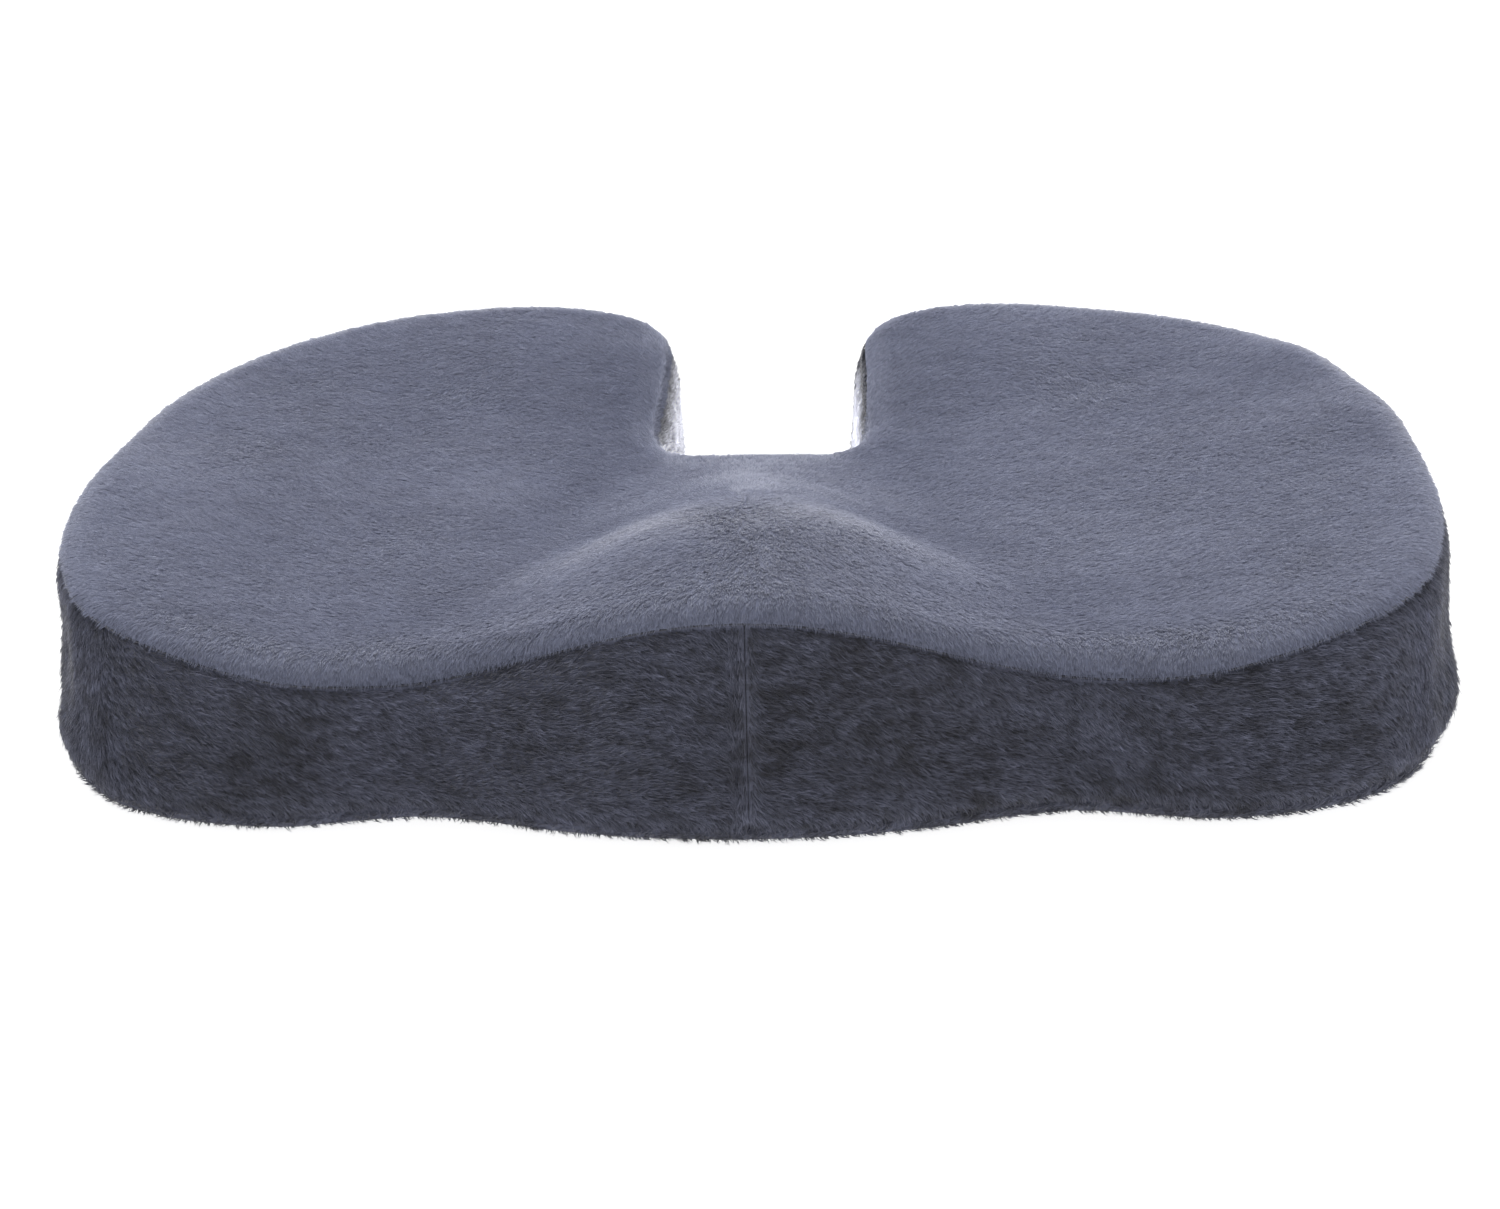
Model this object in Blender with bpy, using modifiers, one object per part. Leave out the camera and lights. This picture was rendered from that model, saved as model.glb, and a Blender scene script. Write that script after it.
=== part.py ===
"""Orthopaedic seat cushion: a moulded memory-foam block in a zip-off plush cover.

+X is the sitter's right as seen from the front, +Y is the rear with the tailbone cut-out, +Z is up.
The origin is the centre of the underside. The cover is made of separate cloth panels, each a thin
shell, with sewing thread in the gaps between them and a zip in a recess across the underside.
"""

import math

import bmesh
import bpy
import numpy as np

MM = 0.001

# Plan of the cushion at the top seam: right half, from the front centre round to the cut-out.
HALF_PLAN_MM = [
    (0, -174),
    (48, -169),
    (97, -156),
    (148, -161.5),
    (196, -138.5),
    (218, -79.5),
    (220.5, 3.5),
    (204, 82.5),
    (162, 144.5),
    (98, 172),
    (56, 165.5),
    (37, 144.5),
    (35.5, 103.5),
    (36.5, 64.5),
    (27, 44.5),
    (0, 39.5),
]
LOBE_CORNER_OUTER_MM = (70, 170)  # where the lobe's rear edge starts to turn into the cut-out
LOBE_CORNER_INNER_MM = (36, 136)  # where that turn ends
PLAN_STEPS = 40  # fine points between two plan points

# Height of the seat surface.
FLOOR = 48 * MM  # bottom of the two seat hollows
SIDE_RISE = 18 * MM
SIDE_FROM = 105 * MM
SIDE_TO = 222 * MM
REAR_RISE = 16 * MM
REAR_FROM = 20 * MM
REAR_TO = 176 * MM
THIGH_LIFT = 3.5 * MM  # the two thigh channels are this much above the hollows at the front edge
THIGH_FROM = -60 * MM
THIGH_TO = -160 * MM
POMMEL_RISE = 30.5 * MM
POMMEL_Y = -90 * MM  # the crest
POMMEL_FADE_FRONT = 205 * MM
POMMEL_FADE_REAR = 76 * MM
POMMEL_HALF_WIDTH_FRONT = 108 * MM
POMMEL_HALF_WIDTH_CREST = 85 * MM
POMMEL_HALF_WIDTH_REAR = 62 * MM
POMMEL_FLATNESS = 0.8

# Section through the edge.
EDGE_RADIUS = 6 * MM  # between the seat surface and the top seam
FOAM_EDGE_RADIUS = 10 * MM
WALL_FLARE = 3.4 * MM  # the side wall's widest place, just above the foot, beyond the top seam
WALL_SECTION = ((0.0, 0.75), (0.15, 1.0), (0.45, 0.65), (0.8, 0.6), (1.0, 0.0))  # height, flare
CORNER_FLARE = 3 * MM  # the foot is squarer than the top seam at the front corners
CORNER_MM = (208, -124)  # the front corners of the plan, either side
CORNER_REACH = 50 * MM
FOOT_RADIUS = 5 * MM  # rolled edge of the underside
CLOTH = 1.8 * MM
CLOTH_TO_FOAM = 1.0 * MM
SEAM_GAP = 1.3 * MM
THREAD_RADIUS = 0.35 * MM
UPRIGHT_SEAM = (0.03, 0.15, 0.45, 0.8, 0.97)  # heights on the wall that an upright thread passes

# Mesh density.
ROUND_CELLS = 64  # along the horseshoe
ACROSS_CELLS = 10  # from the cut-out to the outer edge
EDGE_ROWS_MM = (0, 1.1, 3.0, 6.5)  # the rows of cells that follow the rounded edges
ROUND_LENGTH = 300 * MM  # the length round the horseshoe that sets the end rows' spacing
SHORTEST_ACROSS = 30 * MM
FOOT_ROWS = 3
SMOOTH_UP_TO = math.radians(40)  # edges sharper than this are shaded sharp

# Zip across the underside, in front of the cut-out. Heights are over the ground.
ZIP_Y = -30 * MM
CLEARANCE = 0.3 * MM  # between pieces that touch on the real cushion
RECESS_HALF_LENGTH = 192 * MM
RECESS_HALF_WIDTH = 13 * MM
RECESS_DEPTH = 6 * MM
WELT_WIDTH = 5 * MM  # folded edge of an underside panel, under the tape
TAPE_THICKNESS = 0.8 * MM
TAPE_HALF_LENGTH = 180 * MM
COIL_Z = 6.7 * MM
COIL_HEIGHT = 1.6 * MM
COIL_HALF_GAP = 0.9 * MM  # the slider's neck passes between the coils
COIL_WIDTH = 1.5 * MM
COIL_FAR = COIL_HALF_GAP + COIL_WIDTH
STOP_X = 167.5 * MM
STOP_HALF_LENGTH = 1.2 * MM
STOP_HEIGHT = 1.1 * MM
SLIDER_CLOSED_X = 160 * MM
SLIDER_LENGTH = 11 * MM
SLIDER_WIDTH = 9 * MM
SLIDER_PLATE = 1 * MM
SLIDER_PLAY = 0.4 * MM  # between a plate and the coils
SLIDER_ROUNDING = 0.35 * MM
NECK_HALF_WIDTH = 0.55 * MM
NECK_LENGTH = 2.5 * MM
ARCH_LOW = 1.5 * MM
ARCH_HALF_LENGTH = 3.8 * MM
ARCH_HALF_WIDTH = 0.8 * MM
ARCH_BAR = 0.9 * MM
ARCH_POST = 0.8 * MM
JOIN_LAP = 0.2 * MM  # how far blocks that are joined reach into each other
TAB_AXIS_Z = 3.45 * MM  # the tab swings about its bar, under the arch
TAB_THICKNESS = 0.9 * MM
TAB_WIDTH = 7 * MM
TAB_LENGTH = 24 * MM
ARCH_HOLE_REACH = 5.2 * MM
ARCH_HOLE_HALF_WIDTH = 1.6 * MM
FINGER_HOLE = (14 * MM, 21 * MM)
FINGER_HOLE_HALF_WIDTH = 1.7 * MM
FOAM_GROOVE_HALF_WIDTH = 17 * MM
FOAM_GROOVE_HALF_LENGTH = 197 * MM
FOAM_GROOVE_TOP = 12 * MM
CUTTER_REACH = 400 * MM  # a cutter that has to pass the whole cushion

# Colours (linear) and surface values.
FINISHES = {
    "top_plush": ((0.150, 0.162, 0.223), 0.95, 0.0),
    "band_plush": ((0.048, 0.049, 0.070), 0.95, 0.0),
    "foot_plush": ((0.058, 0.053, 0.060), 0.95, 0.0),
    "foam": ((0.83, 0.80, 0.68), 0.9, 0.0),
    "thread": ((0.040, 0.042, 0.060), 0.8, 0.0),
    "zip_tape": ((0.030, 0.032, 0.045), 0.85, 0.0),
    "zip_coil": ((0.020, 0.021, 0.028), 0.45, 0.0),
    "zip_metal": ((0.42, 0.42, 0.44), 0.35, 1.0),
}


# ---------------------------------------------------------------- the plan curve


def smoothstep(value):
    t = np.clip(value, 0.0, 1.0)
    return t * t * (3 - 2 * t)


def catmull_rom(points, steps):
    """Closed smooth curve through the points."""
    before = np.roll(points, 1, axis=0)
    after = np.roll(points, -1, axis=0)
    beyond = np.roll(points, -2, axis=0)
    t = (np.arange(steps) / steps)[None, :, None]
    p0, p1, p2, p3 = (p[:, None, :] for p in (before, points, after, beyond))
    curve = 0.5 * (
        2 * p1
        + (p2 - p0) * t
        + (2 * p0 - 5 * p1 + 4 * p2 - p3) * t**2
        + (3 * p1 - p0 - 3 * p2 + p3) * t**3
    )
    return curve.reshape(-1, 2)


def closed_plan():
    right = np.array(HALF_PLAN_MM, float) * MM
    left = right[-2:0:-1] * (-1, 1)
    return catmull_rom(np.concatenate([right, left]), PLAN_STEPS)


class Plan:
    """The plan curve by the fraction of its length, counted from the front centre to the right."""

    def __init__(self):
        self.points = closed_plan()
        ahead = np.roll(self.points, -1, axis=0)
        behind = np.roll(self.points, 1, axis=0)
        tangent = ahead - behind
        tangent /= np.linalg.norm(tangent, axis=1)[:, None]
        self.outward = np.stack([tangent[:, 1], -tangent[:, 0]], axis=1)
        steps = np.linalg.norm(ahead - self.points, axis=1)
        self.length = steps.sum()
        self.fraction = np.concatenate([[0], np.cumsum(steps)[:-1]]) / self.length

    def at(self, fraction, offset=0.0):
        """The curve's point at a fraction of its length, moved outward by offset."""
        place = [
            np.interp(fraction, self.fraction, values, period=1.0)
            for values in (*self.points.T, *self.outward.T)
        ]
        return np.stack([place[0] + place[2] * offset, place[1] + place[3] * offset], axis=-1)

    def fraction_near(self, point_mm):
        gaps = np.linalg.norm(self.points - np.array(point_mm) * MM, axis=1)
        return self.fraction[gaps.argmin()]

    def distance(self, x, y):
        """How far inside the plan curve a point lies."""
        gaps = np.hypot(self.points[:, 0] - x, self.points[:, 1] - y)
        return gaps.min()


PLAN = Plan()
TURN_OUTER = PLAN.fraction_near(LOBE_CORNER_OUTER_MM)
TURN_INNER = PLAN.fraction_near(LOBE_CORNER_INNER_MM)


# ---------------------------------------------------------------- the seat surface


def pommel_height(x, y):
    fade = POMMEL_FADE_FRONT if y < POMMEL_Y else POMMEL_FADE_REAR
    along = math.exp(-(((y - POMMEL_Y) / fade) ** 2))
    half_width = np.interp(
        y,
        (PLAN.points[:, 1].min(), POMMEL_Y, 0.0),
        (POMMEL_HALF_WIDTH_FRONT, POMMEL_HALF_WIDTH_CREST, POMMEL_HALF_WIDTH_REAR),
    )
    turn = min(abs(x) / half_width, 1.0) * math.pi
    across = (0.5 * (1 + math.cos(turn))) ** POMMEL_FLATNESS
    return POMMEL_RISE * along * across


def seat_height(x, y):
    """Height of the seat surface before its edge is rounded."""
    side = SIDE_RISE * smoothstep((abs(x) - SIDE_FROM) / (SIDE_TO - SIDE_FROM))
    rear = REAR_RISE * smoothstep((y - REAR_FROM) / (REAR_TO - REAR_FROM))
    thigh = THIGH_LIFT * smoothstep((y - THIGH_FROM) / (THIGH_TO - THIGH_FROM))
    return FLOOR + math.hypot(side, rear) + thigh + pommel_height(x, y)


def top_seam_height(fraction):
    x, y = PLAN.at(fraction)
    return seat_height(x, y) - EDGE_RADIUS


def rounded_drop(distance, radius):
    """How far a quarter-round edge lies below the flat surface, at a distance from the rim."""
    if distance >= radius:
        return 0.0
    return radius - math.sqrt(max(radius**2 - (radius - distance) ** 2, 0.0))


# ---------------------------------------------------------------- grids and walls


def patch_point(u, v, inset):
    """Coons patch over the horseshoe: u runs round it from left to right, v from cut-out to rim."""

    def inner(s):
        return PLAN.at(1 - TURN_INNER + s * (2 * TURN_INNER - 1), -inset)

    def outer(s):
        return PLAN.at(TURN_OUTER * (2 * s - 1), -inset)

    def left(s):
        return PLAN.at(1 - TURN_INNER + s * (TURN_INNER - TURN_OUTER), -inset)

    def right(s):
        return PLAN.at(TURN_INNER + s * (TURN_OUTER - TURN_INNER), -inset)

    across = (1 - v) * inner(u) + v * outer(u)
    along = (1 - u) * left(v) + u * right(v)
    corners = (1 - v) * ((1 - u) * inner(0) + u * inner(1))
    corners = corners + v * ((1 - u) * outer(0) + u * outer(1))
    return across + along - corners


def edge_fraction(u, v):
    """Fraction of the plan curve's length at a point of the patch's rim."""
    if v <= 0:
        return 1 - TURN_INNER + u * (2 * TURN_INNER - 1)
    if v >= 1:
        return (TURN_OUTER * (2 * u - 1)) % 1.0
    if u <= 0:
        return 1 - TURN_INNER + v * (TURN_INNER - TURN_OUTER)
    return TURN_INNER + v * (TURN_OUTER - TURN_INNER)


def spaced(cells, length):
    """Positions from 0 to 1 that crowd towards both ends, for the rounded edges."""
    rows = np.array(EDGE_ROWS_MM) * MM / length
    middle = np.linspace(rows[-1], 1 - rows[-1], cells - 2 * (len(rows) - 1) + 1)
    return np.concatenate([rows[:-1], middle, 1 - rows[-2::-1]])


def patch_rows(u):
    """The patch's v positions on the line that starts at u on the cut-out."""
    line = patch_point(u, 1.0, 0.0) - patch_point(u, 0.0, 0.0)
    return spaced(ACROSS_CELLS, max(np.linalg.norm(line), SHORTEST_ACROSS))


COLUMNS = spaced(ROUND_CELLS, ROUND_LENGTH)  # the patch's u positions, crowded at the lobes' ends


def seat_grid(inset, drop, radius):
    """Open sheet over the whole plan, at the seat surface lowered by drop, with rounded edges."""
    bm = bmesh.new()
    bmesh.ops.create_grid(bm, x_segments=ROUND_CELLS, y_segments=ACROSS_CELLS, size=1.0)
    rim = bm.verts.layers.float.new("rim_fraction")
    for vert in bm.verts:
        column = round((vert.co.x + 1) / 2 * ROUND_CELLS)
        row = round((vert.co.y + 1) / 2 * ACROSS_CELLS)
        u = COLUMNS[column]
        v = patch_rows(u)[row]
        x, y = patch_point(u, v, inset)
        distance = max(PLAN.distance(x, y) - inset, 0.0)
        z = seat_height(x, y) - drop - rounded_drop(distance, radius)
        if column in (0, ROUND_CELLS) or row in (0, ACROSS_CELLS):
            vert[rim] = edge_fraction(u, v)
            z = seat_height(*PLAN.at(vert[rim])) - drop - radius
        vert.co = (x, y, z)
    # The grid's own face side ends up below, because v runs from the cut-out to the front.
    bmesh.ops.reverse_faces(bm, faces=bm.faces)
    return bm, rim


def rim_fractions():
    """Fractions of the plan curve's length at the seat grid's rim, in order from the front centre."""
    found = set()
    for column, u in enumerate(COLUMNS):
        rows = patch_rows(u)
        ends = column in (0, ROUND_CELLS)
        for v in rows if ends else rows[[0, -1]]:
            found.add(round(float(edge_fraction(u, v)) % 1.0, 9))
    return np.array(sorted(found))


def extruded_ring(bm, edges, rim, place):
    """Extrudes a closed ring of edges and moves each new point to place(its rim fraction)."""
    made = bmesh.ops.extrude_edge_only(bm, edges=edges)["geom"]
    for vert in (item for item in made if isinstance(item, bmesh.types.BMVert)):
        vert.co = place(vert[rim])
    return [item for item in made if isinstance(item, bmesh.types.BMEdge)]


def wall_offset(fraction, height):
    """How far the side wall stands outside the top seam, at 0 to 1 of its height."""
    heights, shares = zip(*WALL_SECTION)
    x, y = PLAN.at(fraction)
    from_corner = math.hypot(abs(x) - CORNER_MM[0] * MM, y - CORNER_MM[1] * MM)
    corner = CORNER_FLARE * math.exp(-((from_corner / CORNER_REACH) ** 2))
    return WALL_FLARE * np.interp(height, heights, shares) + corner * (1 - height)


# ---------------------------------------------------------------- objects


def clear_scene():
    for obj in list(bpy.data.objects):
        bpy.data.objects.remove(obj, do_unlink=True)


def new_collection(name):
    collection = bpy.data.collections.new(name)
    bpy.context.scene.collection.children.link(collection)
    return collection


def make_material(name):
    colour, roughness, metallic = FINISHES[name]
    material = bpy.data.materials.new(name)
    material.use_nodes = True
    shader = material.node_tree.nodes["Principled BSDF"]
    shader.inputs["Base Color"].default_value = (*colour, 1.0)
    shader.inputs["Roughness"].default_value = roughness
    shader.inputs["Metallic"].default_value = metallic
    return material


def add_mesh(name, bm, finish, collection):
    mesh = bpy.data.meshes.new(name)
    bm.to_mesh(mesh)
    bm.free()
    mesh.shade_smooth()
    mesh.set_sharp_from_angle(angle=SMOOTH_UP_TO)
    obj = bpy.data.objects.new(name, mesh)
    collection.objects.link(obj)
    if finish:
        mesh.materials.append(MATERIALS[finish])
    else:
        obj.hide_render = True
        obj.display_type = "WIRE"
    return obj


def add_box(name, low, high, finish, collection, bevel=0.0, parent=None):
    """Box between two corners in its parent's frame, its edges rounded by bevel."""
    bm = bmesh.new()
    bmesh.ops.create_cube(bm, size=1.0)
    low, high = np.array(low), np.array(high)
    for vert in bm.verts:
        vert.co = (low + high) / 2 + np.array(vert.co) * (high - low)
    obj = add_mesh(name, bm, finish, collection)
    obj.parent = parent
    if bevel:
        rounding = obj.modifiers.new("rounded_edges", "BEVEL")
        rounding.width = bevel
        rounding.segments = 2
    return obj


def add_shell_thickness(obj):
    thickness = obj.modifiers.new("cloth_thickness", "SOLIDIFY")
    thickness.thickness = CLOTH
    thickness.offset = -1.0
    thickness.use_even_offset = True


def cut(obj, cutter, operation="DIFFERENCE"):
    boolean = obj.modifiers.new(cutter.name, "BOOLEAN")
    boolean.operation = operation
    boolean.object = cutter


def add_thread(name, points, closed):
    """Sewing thread along the points."""
    curve = bpy.data.curves.new(name, "CURVE")
    curve.dimensions = "3D"
    curve.bevel_depth = THREAD_RADIUS
    curve.bevel_resolution = 0
    curve.use_fill_caps = True
    spline = curve.splines.new("POLY")
    spline.points.add(len(points) - 1)
    for place, point in zip(spline.points, points):
        place.co = (*point, 1.0)
    spline.use_cyclic_u = closed
    curve.materials.append(MATERIALS["thread"])
    obj = bpy.data.objects.new(name, curve)
    PARTS.objects.link(obj)
    return obj


# ---------------------------------------------------------------- foam


def add_foam_core():
    """Moulded block: the seat surface, an upright wall and a chamfered foot round a flat base."""
    inset = CLOTH + CLOTH_TO_FOAM
    bm, rim = seat_grid(inset, inset, FOAM_EDGE_RADIUS)
    ring = [edge for edge in bm.edges if edge.is_boundary]

    def foot_place(fraction):
        return (*PLAN.at(fraction, -inset), FOOT_RADIUS + CLOTH_TO_FOAM)

    ring = extruded_ring(bm, ring, rim, foot_place)

    def base_place(fraction):
        return (*PLAN.at(fraction, -inset - FOOT_RADIUS + CLOTH), inset)

    ring = extruded_ring(bm, ring, rim, base_place)
    bmesh.ops.contextual_create(bm, geom=ring)
    bmesh.ops.recalc_face_normals(bm, faces=bm.faces)
    foam = add_mesh("foam_core", bm, "foam", PARTS)
    groove = add_box(
        "foam_groove",
        (-FOAM_GROOVE_HALF_LENGTH, ZIP_Y - FOAM_GROOVE_HALF_WIDTH, -FOAM_GROOVE_TOP),
        (FOAM_GROOVE_HALF_LENGTH, ZIP_Y + FOAM_GROOVE_HALF_WIDTH, FOAM_GROOVE_TOP),
        None,
        CUTTERS,
    )
    cut(foam, groove)


# ---------------------------------------------------------------- cover panels


def add_top_panel():
    bm, _ = seat_grid(0.0, 0.0, EDGE_RADIUS)
    add_shell_thickness(add_mesh("top_panel", bm, "top_plush", PARTS))


def band_point(fraction, height):
    """Point of the side band's face at 0 to 1 between its two seams."""
    low = FOOT_RADIUS + SEAM_GAP
    z = low + (top_seam_height(fraction) - SEAM_GAP - low) * height
    return (*PLAN.at(fraction, wall_offset(fraction, height)), z)


def add_side_band(name, first, last):
    """Boxing strip between two fractions of the plan curve, with a seam gap at each end."""
    gap = SEAM_GAP / 2 / PLAN.length
    inside = RIM_FRACTIONS[(RIM_FRACTIONS > first + 2 * gap) & (RIM_FRACTIONS < last - 2 * gap)]
    places = np.concatenate([[first + gap], inside, [last - gap]])
    cells = len(places) - 1
    bm = bmesh.new()
    rows = len(WALL_SECTION) - 1
    bmesh.ops.create_grid(bm, x_segments=cells, y_segments=rows, size=1.0)
    for vert in bm.verts:
        column = round((vert.co.x + 1) / 2 * cells)
        row = round((vert.co.y + 1) / 2 * rows)
        vert.co = band_point(places[column], WALL_SECTION[row][0])
    add_shell_thickness(add_mesh(name, bm, "band_plush", PARTS))


def underside_sheet():
    """Flat sheet on the ground whose rim rolls up to the bottom seam."""
    bm = bmesh.new()
    rim = bm.verts.layers.float.new("rim_fraction")

    def rolled(turn):
        def place(fraction):
            offset = wall_offset(fraction, 0.0) - FOOT_RADIUS * (1 - math.sin(turn))
            return (*PLAN.at(fraction, offset), FOOT_RADIUS * (1 - math.cos(turn)))

        return place

    loop = []
    for fraction in RIM_FRACTIONS:
        vert = bm.verts.new(rolled(0.0)(fraction))
        vert[rim] = fraction
        loop.append(vert)
    ring = [bm.edges.new(pair) for pair in zip(loop, loop[1:] + loop[:1])]
    bmesh.ops.contextual_create(bm, geom=ring)
    for step in range(1, FOOT_ROWS + 1):
        ring = extruded_ring(bm, ring, rim, rolled(math.pi / 2 * step / FOOT_ROWS))
    bmesh.ops.recalc_face_normals(bm, faces=bm.faces)
    if max(bm.faces, key=lambda face: face.calc_area()).normal.z > 0:
        bmesh.ops.reverse_faces(bm, faces=bm.faces)
    return bm


def add_welt(name, side):
    """The folded edge of an underside panel: up the recess's wall and in towards the coils."""
    wall = ZIP_Y + side * RECESS_HALF_WIDTH
    outer = wall + side * CLOTH
    upright = add_box(
        name,
        (-RECESS_HALF_LENGTH, min(wall, outer), 0.0),
        (RECESS_HALF_LENGTH, max(wall, outer), RECESS_DEPTH),
        None,
        CUTTERS,
    )
    inner = wall - side * WELT_WIDTH
    lapped = wall + side * CLOTH / 2
    lip = add_box(
        name + "_lip",
        (-RECESS_HALF_LENGTH, min(inner, lapped), RECESS_DEPTH - CLOTH),
        (RECESS_HALF_LENGTH, max(inner, lapped), RECESS_DEPTH),
        None,
        CUTTERS,
    )
    cut(upright, lip, "UNION")
    return upright


def add_bottom_panel(name, side):
    """The underside on one side of the zip: -1 is the front panel, +1 the rear one."""
    panel = add_mesh(name, underside_sheet(), "foot_plush", PARTS)
    add_shell_thickness(panel)
    edge = ZIP_Y + side * SEAM_GAP / 2
    beyond = edge - side * CUTTER_REACH
    other_side = add_box(
        name + "_other_side",
        (-CUTTER_REACH, min(edge, beyond), -CUTTER_REACH),
        (CUTTER_REACH, max(edge, beyond), CUTTER_REACH),
        None,
        CUTTERS,
    )
    recess = add_box(
        name + "_recess",
        (-RECESS_HALF_LENGTH, ZIP_Y - RECESS_HALF_WIDTH, -CUTTER_REACH),
        (RECESS_HALF_LENGTH, ZIP_Y + RECESS_HALF_WIDTH, CUTTER_REACH),
        None,
        CUTTERS,
    )
    cut(panel, other_side)
    cut(panel, recess)
    cut(panel, add_welt(name + "_welt", side), "UNION")


# ---------------------------------------------------------------- seams


def add_seam_threads():
    top = [
        (*PLAN.at(fraction, -THREAD_RADIUS), top_seam_height(fraction) - SEAM_GAP / 2)
        for fraction in RIM_FRACTIONS
    ]
    add_thread("top_seam_thread", top, closed=True)
    bottom = [
        (*PLAN.at(fraction, wall_offset(fraction, 0.0) - THREAD_RADIUS), FOOT_RADIUS + SEAM_GAP / 2)
        for fraction in RIM_FRACTIONS
    ]
    add_thread("bottom_seam_thread", bottom, closed=True)
    for name, fraction in (("front_seam_thread", 0.0), ("cutout_seam_thread", 0.5)):
        upright = []
        for height in UPRIGHT_SEAM:
            x, y, z = band_point(fraction, height)
            outward = PLAN.at(fraction, 1.0) - PLAN.at(fraction)
            upright.append((x - outward[0] * THREAD_RADIUS, y - outward[1] * THREAD_RADIUS, z))
        add_thread(name, upright, closed=False)


# ---------------------------------------------------------------- zip


def add_zip_strip(name, side, near, far, low, high, finish, ends, rounding=0.0):
    """Bar beside the zip's centre line, between two distances from it, two heights and two ends."""
    sides = sorted((ZIP_Y + side * near, ZIP_Y + side * far))
    return add_box(
        name, (ends[0], sides[0], low), (ends[1], sides[1], high), finish, PARTS, rounding
    )


def add_zip_half(end, side):
    """Tape, coil, stitch row and top stop on one side of the zip."""
    whole = (-TAPE_HALF_LENGTH, TAPE_HALF_LENGTH)
    tape_low = RECESS_DEPTH + CLEARANCE
    tape_high = tape_low + TAPE_THICKNESS
    tape_near = COIL_FAR + CLEARANCE
    add_zip_strip(
        f"zip_tape_{end}", side, tape_near, RECESS_HALF_WIDTH, tape_low, tape_high, "zip_tape", whole
    )
    coil_low = COIL_Z - COIL_HEIGHT / 2
    coil_high = COIL_Z + COIL_HEIGHT / 2
    add_zip_strip(
        f"zip_coil_{end}", side, COIL_HALF_GAP, COIL_FAR, coil_low, coil_high, "zip_coil", whole, CLEARANCE
    )
    stitch = RECESS_HALF_WIDTH - WELT_WIDTH / 2
    stitch_high = RECESS_DEPTH - CLOTH - CLEARANCE
    add_zip_strip(
        f"zip_stitch_{end}",
        side,
        stitch - THREAD_RADIUS,
        stitch + THREAD_RADIUS,
        stitch_high - 2 * THREAD_RADIUS,
        stitch_high,
        "thread",
        whole,
    )
    stop_high = coil_low - CLEARANCE
    stop_ends = (STOP_X - STOP_HALF_LENGTH, STOP_X + STOP_HALF_LENGTH)
    add_zip_strip(
        f"zip_top_stop_{end}",
        side,
        CLEARANCE,
        COIL_FAR + CLEARANCE,
        stop_high - STOP_HEIGHT,
        stop_high,
        "zip_metal",
        stop_ends,
        SLIDER_ROUNDING / 2,
    )


def add_bottom_stop():
    """One clip across both coils at the end that the zip opens to."""
    half = COIL_FAR + CLEARANCE
    high = COIL_Z - COIL_HEIGHT / 2 - CLEARANCE
    add_box(
        "zip_bottom_stop",
        (-STOP_X - 2 * STOP_HALF_LENGTH, ZIP_Y - half, high - STOP_HEIGHT),
        (-STOP_X + STOP_HALF_LENGTH, ZIP_Y + half, high),
        "zip_metal",
        PARTS,
        SLIDER_ROUNDING / 2,
    )


def add_slider():
    """Two plates joined by a neck that passes between the coils, with an arch for the tab.

    It is built round an empty in the middle of the chain, so its heights are from there.
    """
    place = bpy.data.objects.new("slider_place", None)
    PARTS.objects.link(place)
    place.location = (SLIDER_CLOSED_X, ZIP_Y, COIL_Z)
    half_length = SLIDER_LENGTH / 2
    outer_high = -COIL_HEIGHT / 2 - SLIDER_PLAY
    outer_low = outer_high - SLIDER_PLATE
    inner_low = COIL_HEIGHT / 2 + SLIDER_PLAY
    arch_low = ARCH_LOW - COIL_Z

    def block(name, ends, half_width, heights, rounding=0.0, finish=None, collection=CUTTERS):
        low = (ends[0], -half_width, heights[0])
        high = (ends[1], half_width, heights[1])
        return add_box(name, low, high, finish, collection, rounding, place)

    plate = ((-half_length, half_length), SLIDER_WIDTH / 2)
    slider = block("zip_slider", *plate, (outer_low, outer_high), SLIDER_ROUNDING, "zip_metal", PARTS)
    inner_plate = (inner_low, inner_low + SLIDER_PLATE)
    cut(slider, block("slider_inner_plate", *plate, inner_plate, SLIDER_ROUNDING), "UNION")
    neck_ends = (half_length - JOIN_LAP - NECK_LENGTH, half_length - JOIN_LAP)
    neck_heights = (outer_high - JOIN_LAP, inner_low + JOIN_LAP)
    cut(slider, block("slider_neck", neck_ends, NECK_HALF_WIDTH, neck_heights), "UNION")
    post_heights = (arch_low, outer_low + JOIN_LAP)
    for name, side in (("slider_front_post", 1), ("slider_rear_post", -1)):
        ends = sorted((side * ARCH_HALF_LENGTH, side * (ARCH_HALF_LENGTH - ARCH_POST)))
        cut(slider, block(name, ends, ARCH_HALF_WIDTH, post_heights), "UNION")
    bar_reach = ARCH_HALF_LENGTH - JOIN_LAP
    bar_half_width = ARCH_HALF_WIDTH - JOIN_LAP / 4
    bar_heights = (arch_low + JOIN_LAP / 4, arch_low + ARCH_BAR)
    cut(slider, block("slider_arch_bar", (-bar_reach, bar_reach), bar_half_width, bar_heights), "UNION")
    return place


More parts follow.
